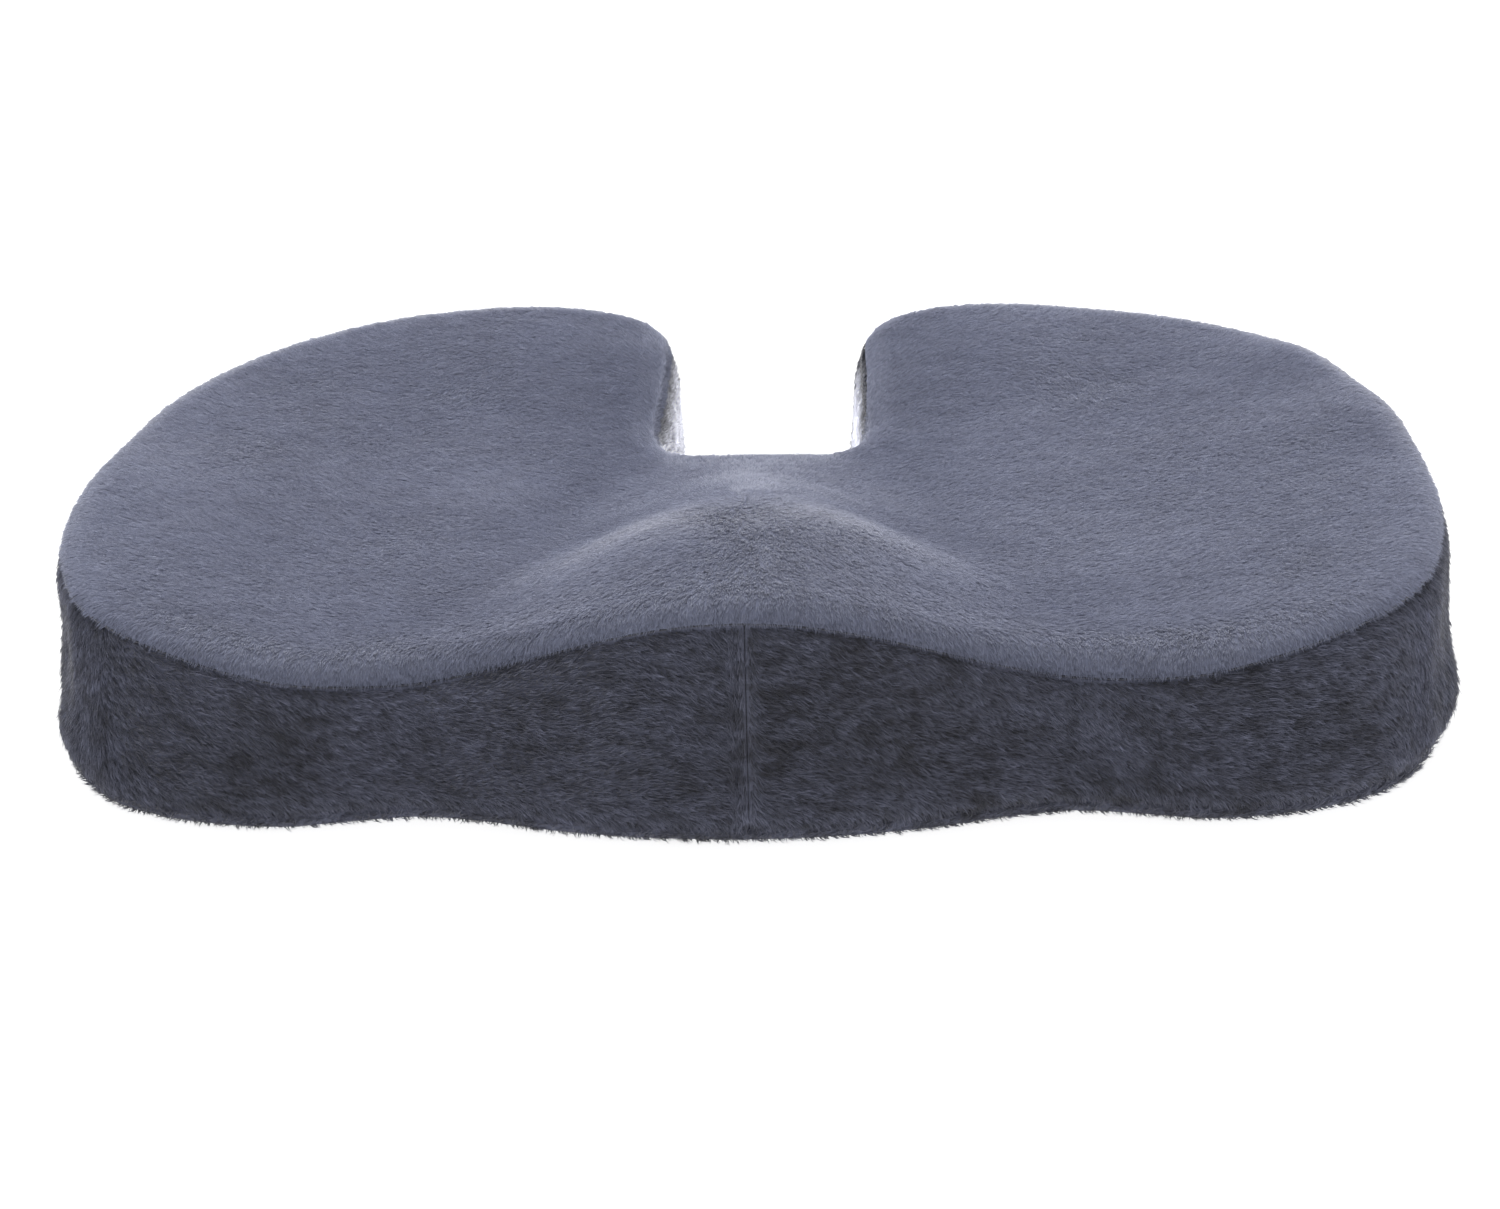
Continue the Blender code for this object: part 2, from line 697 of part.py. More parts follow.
def add_pull(slider_place):
    """Tab with a bar that turns under the slider's arch, and a finger hole. Its origin is the axis."""
    half_thickness = TAB_THICKNESS / 2
    low = (-TAB_LENGTH, -TAB_WIDTH / 2, -half_thickness)
    high = (half_thickness, TAB_WIDTH / 2, half_thickness)
    pull = add_box("zip_pull", low, high, "zip_metal", PARTS, parent=slider_place)
    pull.location = (0.0, 0.0, TAB_AXIS_Z - COIL_Z)
    holes = (
        ("pull_arch_hole", (half_thickness, ARCH_HOLE_REACH), ARCH_HOLE_HALF_WIDTH),
        ("pull_finger_hole", FINGER_HOLE, FINGER_HOLE_HALF_WIDTH),
    )
    for name, (near, far), half_width in holes:
        low = (-far, -half_width, -TAB_LENGTH)
        high = (-near, half_width, TAB_LENGTH)
        cut(pull, add_box(name, low, high, None, CUTTERS, parent=pull))
    rounding = pull.modifiers.new("rounded_edges", "BEVEL")
    rounding.width = SLIDER_ROUNDING / 2
    rounding.segments = 1


# ---------------------------------------------------------------- the cushion

clear_scene()
PARTS = new_collection("seat_cushion")
CUTTERS = new_collection("cutters")
MATERIALS = {name: make_material(name) for name in FINISHES}
RIM_FRACTIONS = rim_fractions()

add_foam_core()
add_top_panel()
add_side_band("side_band_right", 0.0, 0.5)
add_side_band("side_band_left", 0.5, 1.0)
add_bottom_panel("bottom_panel_front", -1)
add_bottom_panel("bottom_panel_rear", 1)
add_seam_threads()
add_zip_half("front", -1)
add_zip_half("rear", 1)
add_bottom_stop()
add_pull(add_slider())
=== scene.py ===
"""Looks of the seat cushion: a plush cover over a moulded foam block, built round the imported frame.

The cover's panels are fine grids laid over the CAD panels, rolled off at their edges and pinched by
the stitching. A cloth simulation of the swelling foam gives them their padding, and a short pile of
curves grows from them. The CAD's seam threads give the seam lines. Lengths are metres unless a name
says MM, and angles are radians.
"""

import math
from typing import NamedTuple

import bmesh
import bpy
import numpy as np
from mathutils import Matrix, Vector, noise
from mathutils.bvhtree import BVHTree
from mathutils.kdtree import KDTree


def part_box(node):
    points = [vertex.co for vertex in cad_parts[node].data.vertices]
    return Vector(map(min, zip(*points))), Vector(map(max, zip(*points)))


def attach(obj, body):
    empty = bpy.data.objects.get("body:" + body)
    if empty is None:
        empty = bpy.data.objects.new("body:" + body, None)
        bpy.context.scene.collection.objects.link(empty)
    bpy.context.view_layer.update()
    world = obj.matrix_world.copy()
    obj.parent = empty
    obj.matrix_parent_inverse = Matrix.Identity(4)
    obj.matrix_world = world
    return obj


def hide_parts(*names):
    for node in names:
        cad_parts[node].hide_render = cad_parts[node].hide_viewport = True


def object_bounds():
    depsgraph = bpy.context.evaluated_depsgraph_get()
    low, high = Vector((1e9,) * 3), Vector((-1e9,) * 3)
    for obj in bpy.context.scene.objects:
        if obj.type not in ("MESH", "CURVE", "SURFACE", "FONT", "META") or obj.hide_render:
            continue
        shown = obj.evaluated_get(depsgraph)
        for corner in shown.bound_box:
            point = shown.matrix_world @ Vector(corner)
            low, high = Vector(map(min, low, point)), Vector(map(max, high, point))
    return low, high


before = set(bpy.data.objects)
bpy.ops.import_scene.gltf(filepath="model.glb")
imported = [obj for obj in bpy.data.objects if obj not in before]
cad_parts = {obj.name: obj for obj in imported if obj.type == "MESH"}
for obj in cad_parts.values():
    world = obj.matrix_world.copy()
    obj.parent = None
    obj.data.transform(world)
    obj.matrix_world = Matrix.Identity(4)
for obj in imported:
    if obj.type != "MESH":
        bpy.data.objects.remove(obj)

CAD_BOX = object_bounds()
MM = 0.001
UP = np.array([0.0, 0.0, 1.0])
SEED = 11
WELD_DISTANCE = 0.01 * MM
NOISE_SHIFT = Vector((7.31, 3.77, 5.13))  # between the noise of one seed and the next
NOISE_FALL, NOISE_STEP = 0.9, 2.1  # each finer layer of noise is lower and smaller by these

# The cover's section, as the CAD cover has it.
EDGE_RADIUS = 6 * MM  # top panel, between the seat surface and the seam
FOOT_RADIUS = 5 * MM  # rolled edge of the underside
SEAM_GAP = 1.3 * MM
THREAD_RADIUS = 0.35 * MM
LOBE_CORNER_OUTER = (70 * MM, 170 * MM)  # where a lobe's rear edge starts to turn into the cut-out
LOBE_CORNER_INNER = (36 * MM, 136 * MM)  # where that turn ends

# Fine grids.
SEAM_STEPS = 4000
CURVE_STEPS = 40  # of a seam's curve between two rings of its thread
PATCH_COLUMNS = 480  # round the horseshoe
PATCH_ROWS = 84  # from the cut-out to the outer edge
EDGE_STEPS = np.array([0.0, 0.12, 0.4, 0.9, 1.6, 2.5, 3.6, 4.9, 6.4]) * MM  # of the rows by a rim
ROUND_LENGTH = 550 * MM  # the length round the horseshoe that sets the end columns' spacing
SHORTEST_ROW = 30 * MM
BAND_COLUMNS = 820
BAND_ROWS = 32
BAND_HEIGHT = 50 * MM  # the height that sets the end rows' spacing
BAND_SEARCH = 20 * MM  # the CAD's wall is looked for this far out from the seam
FACET_SMOOTHING = 60  # passes that even out the CAD's flat facets
TOP_SMOOTHING = 140
BAND_SMOOTHING = 8
EDGE_ROLL = 12 * MM  # the seat surface rolls off over this width, wider than the CAD's edge
ROLL_IN = 3.2 * MM  # the side wall's foot curls in this far under the cushion
ROLL_HEIGHT = 16 * MM
UPRIGHT_SEAM_COLUMN = 1  # of the band's grid: the front seam stands a little to the right

# Padding by cloth simulation.
PAD_VOXEL = 5 * MM
PAD_PRESSURE = 4.0
PAD_QUALITY = 4
PAD_FRAMES = 20
PAD_CAP = 6 * MM  # no point moves farther
PAD_NEIGHBOURS = 6
PIN_REACH = 8 * MM  # cloth this near a seam is held by it
PUFF_SHARE = 0.22  # how much of the padding's relief the cover shows
REMESH_SMOOTHING = 4

# Relief of the cloth.
CLUMP_HEIGHT = 0.2 * MM  # the pile stands in soft clumps
CLUMP_SIZE = 7 * MM
CLUMP_START = 3 * MM  # from the seam
DRAPE_HEIGHT = 0.8 * MM  # slow unevenness of the cloth
DRAPE_SIZE = 75 * MM
DRAPE_START = 12 * MM
PINCH_DEPTH = 1.0 * MM  # the stitching draws the cloth in
PINCH_REACH = 2.4 * MM
UNEVEN_MM = (  # place, reach and height of the cushion's own dents and swells
    ((0, -64, 74), 38, -2.2),
    ((-36, -98, 72), 32, 2.4),
    ((36, -98, 72), 32, 2.4),
    ((0, -98, 79), 20, -1.6),
    ((-34, -66, 66), 34, -1.4),
    ((34, -66, 66), 34, -1.4),
    ((-216, -105, 33), 28, -5.0),
    ((-219, -85, 54), 12, 0.9),
    ((-213, -110, 13), 16, 2.2),
    ((217, -92, 11), 18, 3.8),
    ((219, -92, 34), 28, -3.0),
    ((34, 118, 46), 36, -2.4),
    ((194, 91, 60), 26, 3.4),
    ((213, 35, 62), 32, 3.0),
    ((-212, 25, 62), 36, -1.6),
    ((-123, 156, 62), 45, 1.9),
    ((165, 115, 64), 28, 0.9),
    ((0, 38, 50), 26, -1.2),
    ((0, -176, 6), 50, 1.0),
    ((150, -150, 6), 32, 1.0),
)

# Cut edges, which turn in between two panels.
GROUND_CLOTH = 0.55 * MM  # the cloth without its pile
FOLD_RADIUS = 0.6 * MM
FOLD_TURNS = np.radians([25, 50, 75, 90])
SEAM_ALLOWANCE = 2.6 * MM


class Nap(NamedTuple):
    """How a panel's pile stands."""

    density: float  # fibres on a square metre
    length: float
    radius: float
    lift: float  # above the cloth
    spread: float
    tuft: float  # size of a tuft, whose fibres lean together
    gather: float  # how far a fibre's tip leans to the middle of its tuft
    tuft_turn: float
    tuft_tone: float  # how much lighter or darker a tuft is than the next
    painted_seam_shade: float  # how much painted shade darkens the pile in the fold of the top seam


TOP_NAP = Nap(
    density=4.0 / MM**2, length=2.2 * MM, radius=0.085 * MM, lift=math.radians(22),
    spread=math.radians(7), tuft=1.5 * MM, gather=0.3, tuft_turn=math.radians(12),
    tuft_tone=0.04, painted_seam_shade=0.1,
)
BAND_NAP = Nap(
    density=2.8 / MM**2, length=3.4 * MM, radius=0.11 * MM, lift=math.radians(24),
    spread=math.radians(9), tuft=1.3 * MM, gather=0.5, tuft_turn=math.radians(15),
    tuft_tone=0.30, painted_seam_shade=0.5,
)
FOOT_NAP = Nap(
    density=1.4 / MM**2, length=2.8 * MM, radius=0.11 * MM, lift=math.radians(24),
    spread=math.radians(10), tuft=1.6 * MM, gather=0.5, tuft_turn=math.radians(20),
    tuft_tone=0.2, painted_seam_shade=0.1,
)
FIBRE_TAPER = np.array([1.0, 0.95, 0.7, 0.15])  # of the radius, from root to tip
ROOT_DEPTH = 0.1 * MM
RISE_EARLY, RISE_BEND = 1.35, 0.5  # a fibre rises first and then bends over
RUN_EARLY, RUN_BEND = 0.6, 0.4
LIFT_VARIETY, LENGTH_VARIETY, TUFT_LENGTH_VARIETY = 0.7, 0.18, 0.15
# reach of the painted shade by the top seam
SHADE_REACH = 1.6 * MM

# The directions in which the nap is brushed.
SWIRL_SIZE = 48 * MM
TOP_SWIRL = math.radians(45)
BAND_SWIRL = math.radians(40)
NAP_PARTING = 60 * MM  # the top's pile is brushed aside from its middle
NAP_ASIDE, NAP_FORWARD, NAP_REARWARD, NAP_TURNING = 0.9, 0.45, 0.9, 1.6
COMBED_EDGE = 30 * MM  # the top's pile hangs outward this near the seam
STEEP_FROM, STEEP_RANGE = 0.95, 0.5  # upward part of the normal where the pile starts to hang
BAND_SAG, BAND_HANG = 0.25, 0.9  # the band's pile points down a little, and where it hangs a lot
HANGING_FROM = 175 * MM  # it hangs down this far from the middle
HANGING_REACH = 35 * MM
BESIDE_UPRIGHT = 5 * MM  # and this near the upright seams
FOOT_FRINGE = 13 * MM  # and below this height
FOOT_SLANT = np.array([0.4, 0.0, 0.0])  # added to the underside's outward nap

# Where light and shade are painted into the pile: painted light on the cut-out's walls and the pommel's
# crest, painted shade behind the crest and on its flanks.
CUT_OUT_HALF_WIDTH = 45 * MM
# how much painted light brightens the cut-out's walls
CUT_OUT_PAINTED_LIGHT = 18.0
CORNER_FADE = 9 * MM  # the painted light ends before the lobes' corners
CREST_Y = -95 * MM  # the pommel's highest line
CREST_TURN = 60 * MM  # the nap turns to the rear over this depth behind it
CREST_HALF_WIDTH = 75 * MM
CREST_PARTING = 14 * MM
# the painted light on the pommel's crest, and the painted shade behind it
CREST_REACH, CREST_DEPTH = 50 * MM, 20 * MM
CREST_PAINTED_LIGHT = 0.35
BEHIND_CREST_PAINTED_LIGHT = -0.5
FLANK_PAINTED_SHADE_MM = (  # x on either side, y, reach and how much painted shade takes from the pile's painted sheen there
    (80, -118, 32, 0.5),
    (56, -66, 28, 0.5),
)

# Finishes.
# Each light and dark pair spans the painted light and shade of the brushed nap.
TOP_LIGHT, TOP_DARK = (0.188, 0.206, 0.292, 1.0), (0.158, 0.172, 0.246, 1.0)
# The band's colours are the top's cloth made darker: painted shade for the sides and underside, which
# face away from the overhead light.
BAND_LIGHT, BAND_DARK = (0.134, 0.143, 0.206, 1.0), (0.048, 0.049, 0.066, 1.0)
# The pile's painted shade at its roots, its painted sheen where the cloth turns from the eye, and each
# fibre's random tone.
TOP_SHADING = {"painted_root_shade": 0.7, "painted_sheen_fall": 3.0, "painted_sheen_gain": 2.3, "variety": 0.09}
BAND_SHADING = {"painted_root_shade": 0.28, "painted_sheen_fall": 6.0, "painted_sheen_gain": 1.3, "variety": 0.3}
PLUSH_SHEEN = (0.75, 0.78, 0.9, 1.0)
# tint of the pile's painted sheen
PAINTED_SHEEN_TINT = np.array([0.98, 0.99, 1.09])
# sizes of the brushed nap's painted light and shade
PATCHES_PER_METRE, FLECKS_PER_METRE = 17.0, 120.0
STROKES_PER_METRE = (430.0, 2400.0, 1.0)  # along and across the nap
# painted shade in the gaps between the nap's strokes
STROKE_PAINTED_SHADE = 0.35
FOAM_CREAM, FOAM_YELLOWED = (0.83, 0.80, 0.68, 1.0), (0.80, 0.73, 0.56, 1.0)
THREAD_DARK, THREAD_LIGHT = (0.020, 0.021, 0.030, 1.0), (0.052, 0.054, 0.075, 1.0)
TAPE_DARK, TAPE_LIGHT = (0.020, 0.021, 0.030, 1.0), (0.062, 0.065, 0.085, 1.0)
NYLON, NYLON_DUST = (0.018, 0.019, 0.026, 1.0), (0.045, 0.046, 0.056, 1.0)
NICKEL, NICKEL_RUBBED = (0.48, 0.48, 0.50, 1.0), (0.36, 0.355, 0.35, 1.0)
NICKEL_EDGE = (0.66, 0.62, 0.52, 1.0)

# Stitches.
STITCH = 3.0 * MM
STITCH_POINTS = 6
STITCH_DIP = 0.35 * MM  # how far a stitch dives into the cloth at its ends
STITCH_SIDES = 6
THREAD_DEPTH = 0.5 * MM  # the seams' threads lie this far down between the panels

# Zip, as the CAD has it.
ZIP_Y = -30 * MM
RECESS_HALF_LENGTH = 192 * MM
RECESS_HALF_WIDTH = 13 * MM
COIL_PITCH = 1.5 * MM
COIL_POINTS = 12
COIL_WIRE = 0.3 * MM
COIL_SIDES = 6
COIL_HEAD = 0.2 * MM  # how much nearer the loops come to the slider's neck than the CAD's bars
TAPE_NEAREST = 0.75 * MM  # the tapes run under their coils up to here
TAPE_UNDER_COIL = 1.0 * MM  # how much deeper they lie there
TAPE_DEPTH = 0.2 * MM
TAPE_THICKNESS = 0.3 * MM
TAPE_COLUMNS = 60
TAPE_ROWS = 181
TAPE_RIBS = 9
RIB_HEIGHT = 0.05 * MM
CORD_HEIGHT = 0.25 * MM
CORD_PLACE, CORD_WIDTH = 0.06, 0.03  # these and the next two are shares of the tape's width
COIL_BED, SWAY_START = 0.05, 0.2
SWAY_HEIGHT, SWAY_SIZE = 0.12 * MM, 25 * MM
WELT_CORNER = 3 * MM
WELT_STEPS = 190, 12  # along the recess and across it
WELT_PROFILE_MM = (  # out from the recess's edge, and up
    (2.2, 0.5), (1.2, 0.02), (0.5, 0.1), (0.05, 0.5), (0.0, 1.3),
    (0.0, 3.4), (-0.5, 4.05), (-1.3, 4.2), (-4.6, 4.2), (-5.0, 4.5),
    (-5.0, 5.6), (-4.7, 5.95), (1.2, 5.95), (1.6, 5.4), (1.6, 1.3),
)
METAL_STOPS = ("zip_bottom_stop", "zip_top_stop_front", "zip_top_stop_rear")
METAL_NODES = ("zip_slider", "zip_pull", *METAL_STOPS)

# Foam.
FOAM_VOXEL = 3 * MM
FOAM_CELL_DEPTH = 0.25 * MM
FOAM_CELL_SIZE = 6 * MM
FOAM_SLACK = 1.2 * MM

# Floor, lights and camera.
WHITE = (1.0, 1.0, 1.0, 1.0)
FLOOR_SIZE = 12.0
FLOOR_GREY, FLOOR_GLOW = (0.45, 0.45, 0.45, 1.0), 0.85
SKY_STRENGTH = 0.55
LIGHTS = (  # name, place, size and watts
    ("overhead_softbox", (0.0, 0.6, 1.7), 1.6, 26.0),
    ("rear_softbox", (0.0, 2.0, 0.9), 1.6, 22.0),
    ("front_fill", (-0.4, -1.9, 1.0), 1.8, 7.0),
)
VIEW_DISTANCE = 1.2
VIEW_ELEVATION = math.radians(22)
VIEW_AZIMUTH = math.radians(2)
VIEW_ROLL = math.radians(1.4)
LENS_MM, SENSOR_WIDTH_MM = 84.0, 36.0
LENS_SHIFT = -0.0057, 0.0144


# --- small tools


def smoothstep(value):
    t = np.clip(value, 0.0, 1.0)
    return t * t * (3 - 2 * t)


def unit(vectors):
    return vectors / np.maximum(np.linalg.norm(vectors, axis=-1, keepdims=True), 1e-12)


def blend(share, first, second):
    """Vectors from the first to the second by a share at each place."""
    share = share[..., None]
    return (1 - share) * first + share * second


def turned(vectors, normals, angles):
    """The vectors turned about the normals by the angles."""
    across = np.cross(normals, vectors)
    return vectors * np.cos(angles)[..., None] + across * np.sin(angles)[..., None]


def laid_along(direction, normals):
    """A direction pressed into the surface at each point."""
    flat = direction - normals * np.sum(direction * normals, axis=-1, keepdims=True)
    return unit(flat)


def noise_at(points, size, seed, octaves=2):
    """Soft noise from about -1 to 1 at each point, whose bumps are about size across."""
    shift = seed * NOISE_SHIFT
    flat = points.reshape(-1, 3) / size
    values = [noise.fractal(Vector(p) + shift, NOISE_FALL, NOISE_STEP, octaves) for p in flat]
    return np.array(values).reshape(points.shape[:-1])


def rolled_off(distance, width, depth):
    """How far a rolled edge falls away at a distance from the rim: a quarter of an ellipse."""
    share = np.clip(1 - distance / width, 0.0, 1.0)
    return depth * (1 - np.sqrt(1 - share**2))


def point_tree(points):
    """A search tree over points, which it numbers in their order."""
    tree = KDTree(len(points))
    for index, point in enumerate(points):
        tree.insert(point, index)
    tree.balance()
    return tree


def welded_copy(node):
    """A bmesh of a CAD node with its doubled points joined."""
    bm = bmesh.new()
    bm.from_mesh(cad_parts[node].data)
    bmesh.ops.remove_doubles(bm, verts=bm.verts, dist=WELD_DISTANCE)
    return bm


def face_tree(*nodes):
    """One search tree over the faces of several CAD nodes."""
    points, faces = [], []
    for node in nodes:
        bm = welded_copy(node)
        bm.verts.index_update()
        start = len(points)
        points += [vert.co.copy() for vert in bm.verts]
        faces += [[start + vert.index for vert in face.verts] for face in bm.faces]
        bm.free()
    return BVHTree.FromPolygons(points, faces)


def relaxed(grid, free, passes, ring=False):
    """The grid with its free places evened out. A ring grid joins up along its first axis."""
    values = grid.copy()
    for _ in range(passes):
        along = np.pad(values, ((1, 1), (0, 0)), "wrap" if ring else "edge")
        across = np.pad(values, ((0, 0), (1, 1)), "edge")
        beside = (along[:-2] + along[2:] + across[:, :-2] + across[:, 2:]) / 4
        values = np.where(free, (values + beside) / 2, values)
    return values


def steps_along(points, closed=False):
    """Steps between each point's neighbours along the first axis."""
    if closed:
        return np.roll(points, -1, axis=0) - np.roll(points, 1, axis=0)
    return np.gradient(points, axis=0)


def grid_normals(points, ring=False):
    return unit(np.cross(steps_along(points, ring), np.gradient(points, axis=1)))


def grid_index(points):
    return np.arange(points.shape[0] * points.shape[1]).reshape(points.shape[:2])


def grid_quads(index):
    """Quads between the neighbours of a grid of indices."""
    quads = [index[:-1, :-1], index[1:, :-1], index[1:, 1:], index[:-1, 1:]]
    return np.stack(quads, axis=-1).reshape(-1, 4)


# --- objects


def new_mesh(name, points, faces):
    mesh = bpy.data.meshes.new(name)
    mesh.from_pydata(points.reshape(-1, 3).tolist(), [], faces)
    mesh.shade_smooth()
    return mesh


def new_object(name, data, material=None):
    if material is not None:
        data.materials.append(material)
    obj = bpy.data.objects.new(name, data)
    bpy.context.scene.collection.objects.link(obj)
    return obj


def apply_modifiers(obj):
    """Bakes the object's modifiers into its mesh."""
    graph = bpy.context.evaluated_depsgraph_get()
    mesh = bpy.data.meshes.new_from_object(obj.evaluated_get(graph))
    obj.modifiers.clear()
    obj.data = mesh


def thickened(obj, thickness):
    """The object's sheet with a thickness behind it."""
    solid = obj.modifiers.new("thickness", "SOLIDIFY")
    solid.thickness = thickness
    solid.offset = -1.0
    apply_modifiers(obj)
    return obj


def remeshed_node(name, node, voxel):
    """A new object from a CAD node's shape, remeshed into even cells."""
    mesh = bpy.data.meshes.new(name)
    bm = welded_copy(node)
    bm.to_mesh(mesh)
    bm.free()
    obj = new_object(name, mesh)
    remesh = obj.modifiers.new("even_cells", "REMESH")
    remesh.mode = "VOXEL"
    remesh.voxel_size = voxel
    smooth = obj.modifiers.new("smooth", "SMOOTH")
    smooth.iterations = REMESH_SMOOTHING
    apply_modifiers(obj)
    return obj


def read_vectors(mesh, vector="co"):
    found = np.empty(len(mesh.vertices) * 3, np.float32)
    mesh.vertices.foreach_get(vector, found)
    return found.reshape(-1, 3).astype(float)


def set_attribute(data, name, domain, values):
    """Keeps a number or a vector for each point or curve."""
    kind, field = ("FLOAT", "value") if values.ndim == 1 else ("FLOAT_VECTOR", "vector")
    attribute = data.attributes.new(name, kind, domain)
    attribute.data.foreach_set(field, values.astype(np.float32).ravel())


def mount(piece, slot, *nodes):
    """Ties a finished piece to the cushion and hides the CAD nodes it stands for. The slot, which would
    name its finish, is not used.
    """
    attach(piece, "cushion")
    if nodes:
        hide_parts(*nodes)
    return piece


# --- seam lines


def thread_centres(node):
    """Middle of each ring of a CAD thread, found by its short edges."""
    bm = welded_copy(node)
    centres, seen = [], set()
    for first in bm.verts:
        if first in seen:
            continue
        ring, queue = [], [first]
        seen.add(first)
        while queue:
            vert = queue.pop()
            ring.append(vert.co)
            for edge in vert.link_edges:
                other = edge.other_vert(vert)
                if other not in seen and edge.calc_length() < 2 * THREAD_RADIUS:
                    seen.add(other)
                    queue.append(other)
        centres.append(sum(ring, Vector()) / len(ring))
    bm.free()
    return np.array(centres)


def in_order(centres):
    """The rings' middles in order round the seam, from the front centre to the right."""
    left = list(range(len(centres)))
    current = min(left, key=lambda i: centres[i][1] + abs(centres[i][0]))
    order = [current]
    left.remove(current)
    gaps = np.linalg.norm(centres[left] - centres[current], axis=1)
    gaps[centres[left][:, 0] < centres[current][0]] = np.inf
    while left:
        current = left.pop(int(gaps.argmin()))
        order.append(current)
        gaps = np.linalg.norm(centres[left] - centres[current], axis=1)
    return centres[order]


def smooth_closed(points, count):
    """Cubic curve through a closed row of points, at even steps of its length."""
    closed = np.concatenate([points[-1:], points, points[:2]])
    steps = np.linalg.norm(np.diff(closed, axis=0), axis=1)
    slopes = np.diff(closed, axis=0) / steps[:, None]
    before, after = steps[:-1, None], steps[1:, None]
    tangents = (slopes[:-1] * after + slopes[1:] * before) / (before + after)
    t = np.linspace(0, 1, CURVE_STEPS, endpoint=False)[None, :, None]
    start, end = closed[1:-2, None], closed[2:-1, None]
    reach = steps[1:-1, None, None]
    curve = (
        (2 * t**3 - 3 * t**2 + 1) * start
        + (t**3 - 2 * t**2 + t) * reach * tangents[:-1, None]
        + (3 * t**2 - 2 * t**3) * end
        + (t**3 - t**2) * reach * tangents[1:, None]
    ).reshape(-1, 3)
    lengths = np.linalg.norm(np.roll(curve, -1, axis=0) - curve, axis=1)
    places = np.concatenate([[0], np.cumsum(lengths)])
    even = np.arange(count) / count * places[-1]
    joined = np.concatenate([curve, curve[:1]])
    return np.stack([np.interp(even, places, joined[:, axis]) for axis in range(3)], axis=1)


class Seam:
    """A closed seam line by the fraction of its length, from the front centre to the right."""

    def __init__(self, node):
        self.points = smooth_closed(in_order(thread_centres(node)), SEAM_STEPS)
        ahead = np.roll(self.points, -2, axis=0) - np.roll(self.points, 2, axis=0)
        self.outward = unit(np.cross(ahead * (1, 1, 0), UP))
        self.fraction = np.arange(SEAM_STEPS) / SEAM_STEPS
        gaps = np.linalg.norm(np.roll(self.points, -1, axis=0) - self.points, axis=1)
        self.length = gaps.sum()
        self.tree = point_tree(self.points)
        self.plan_tree = point_tree(self.points * (1, 1, 0))

    def between_steps(self, values, fraction):
        found = [np.interp(fraction, self.fraction, axis, period=1.0) for axis in values.T]
        return np.stack(found, axis=-1)

    def out(self, fraction):
        """Level directions out of the cushion at fractions of the length."""
        return self.between_steps(self.outward, fraction)

    def at(self, fraction, offset=0.0):
        """Points at fractions of the length, moved outward in plan by offset."""
        return self.between_steps(self.points, fraction) + self.out(fraction) * offset

    def fraction_near(self, x, y):
        return self.fraction[np.hypot(self.points[:, 0] - x, self.points[:, 1] - y).argmin()]

    def distance(self, points):
        """Distance from each point to the seam line."""
        found = [self.tree.find(point)[2] for point in points.reshape(-1, 3)]
        return np.array(found).reshape(points.shape[:-1])

    def nearest_in_plan(self, points):
        """(index, inside) for each point: the seam's nearest step and how far inside it the point is."""
        plan = points[..., :2].reshape(-1, 2)
        index, distance = np.array([self.plan_tree.find((x, y, 0.0))[1:] for x, y in plan]).T
        index = index.astype(int)
        from_seam = plan - self.points[index, :2]
        outside = np.sum(from_seam * self.outward[index, :2], axis=1) > 0
        inside = np.where(outside, -distance, distance)
        return index.reshape(points.shape[:-1]), inside.reshape(points.shape[:-1])


TOP_SEAM = Seam("top_seam_thread")
BOTTOM_SEAM = Seam("bottom_seam_thread")


def seam_distance(points):
    """Distance from each point to the nearer seam."""
    return np.minimum(TOP_SEAM.distance(points), BOTTOM_SEAM.distance(points))


# --- grids over the CAD cover


def spaced(cells, length):
    """Positions from 0 to 1 that crowd towards both ends, one row for each length."""
    length = np.atleast_1d(length)[:, None]
    rows = EDGE_STEPS[None] / length
    share = np.linspace(0, 1, cells - 2 * (len(EDGE_STEPS) - 1) + 1)[None]
    middle = rows[:, -1:] + share * (1 - 2 * rows[:, -1:])
    return np.concatenate([rows[:, :-1], middle, 1 - rows[:, -2::-1]], axis=1)


def plan_patch(seam, offset):
    """Plan positions of a grid over the horseshoe inside a seam: columns round it, rows across."""
    outer_turn = seam.fraction_near(*LOBE_CORNER_OUTER)
    inner_turn = seam.fraction_near(*LOBE_CORNER_INNER)

    def side(start, end, share):
        return seam.at(start + share * (end - start), offset)[..., :2]

    def inner(share):
        return side(1 - inner_turn, inner_turn, share)

    def outer(share):
        return side(-outer_turn, outer_turn, share)

    u = spaced(PATCH_COLUMNS, ROUND_LENGTH)[0][:, None]
    lengths = np.linalg.norm(outer(u) - inner(u), axis=-1)[:, 0]
    v = spaced(PATCH_ROWS, np.maximum(lengths, SHORTEST_ROW))
    u = np.broadcast_to(u, v.shape)
    left = side(1 - inner_turn, 1 - outer_turn, v)
    right = side(inner_turn, outer_turn, v)
    corners = blend(v, blend(u, inner(0.0), inner(1.0)), blend(u, outer(0.0), outer(1.0)))
    return blend(v, inner(u), outer(u)) + blend(u, left, right) - corners


def rim_of(grid_shape):
    rim = np.zeros(grid_shape, bool)
    rim[[0, -1], :] = True
    rim[:, [0, -1]] = True
    return rim


def rays_down(tree, plan, start_height, fallback):
    heights = []
    for x, y in plan.reshape(-1, 2):
        hit = tree.ray_cast(Vector((x, y, start_height)), Vector((0, 0, -1)))[0]
        heights.append(fallback if hit is None else hit.z)
    return np.array(heights).reshape(plan.shape[:-1])


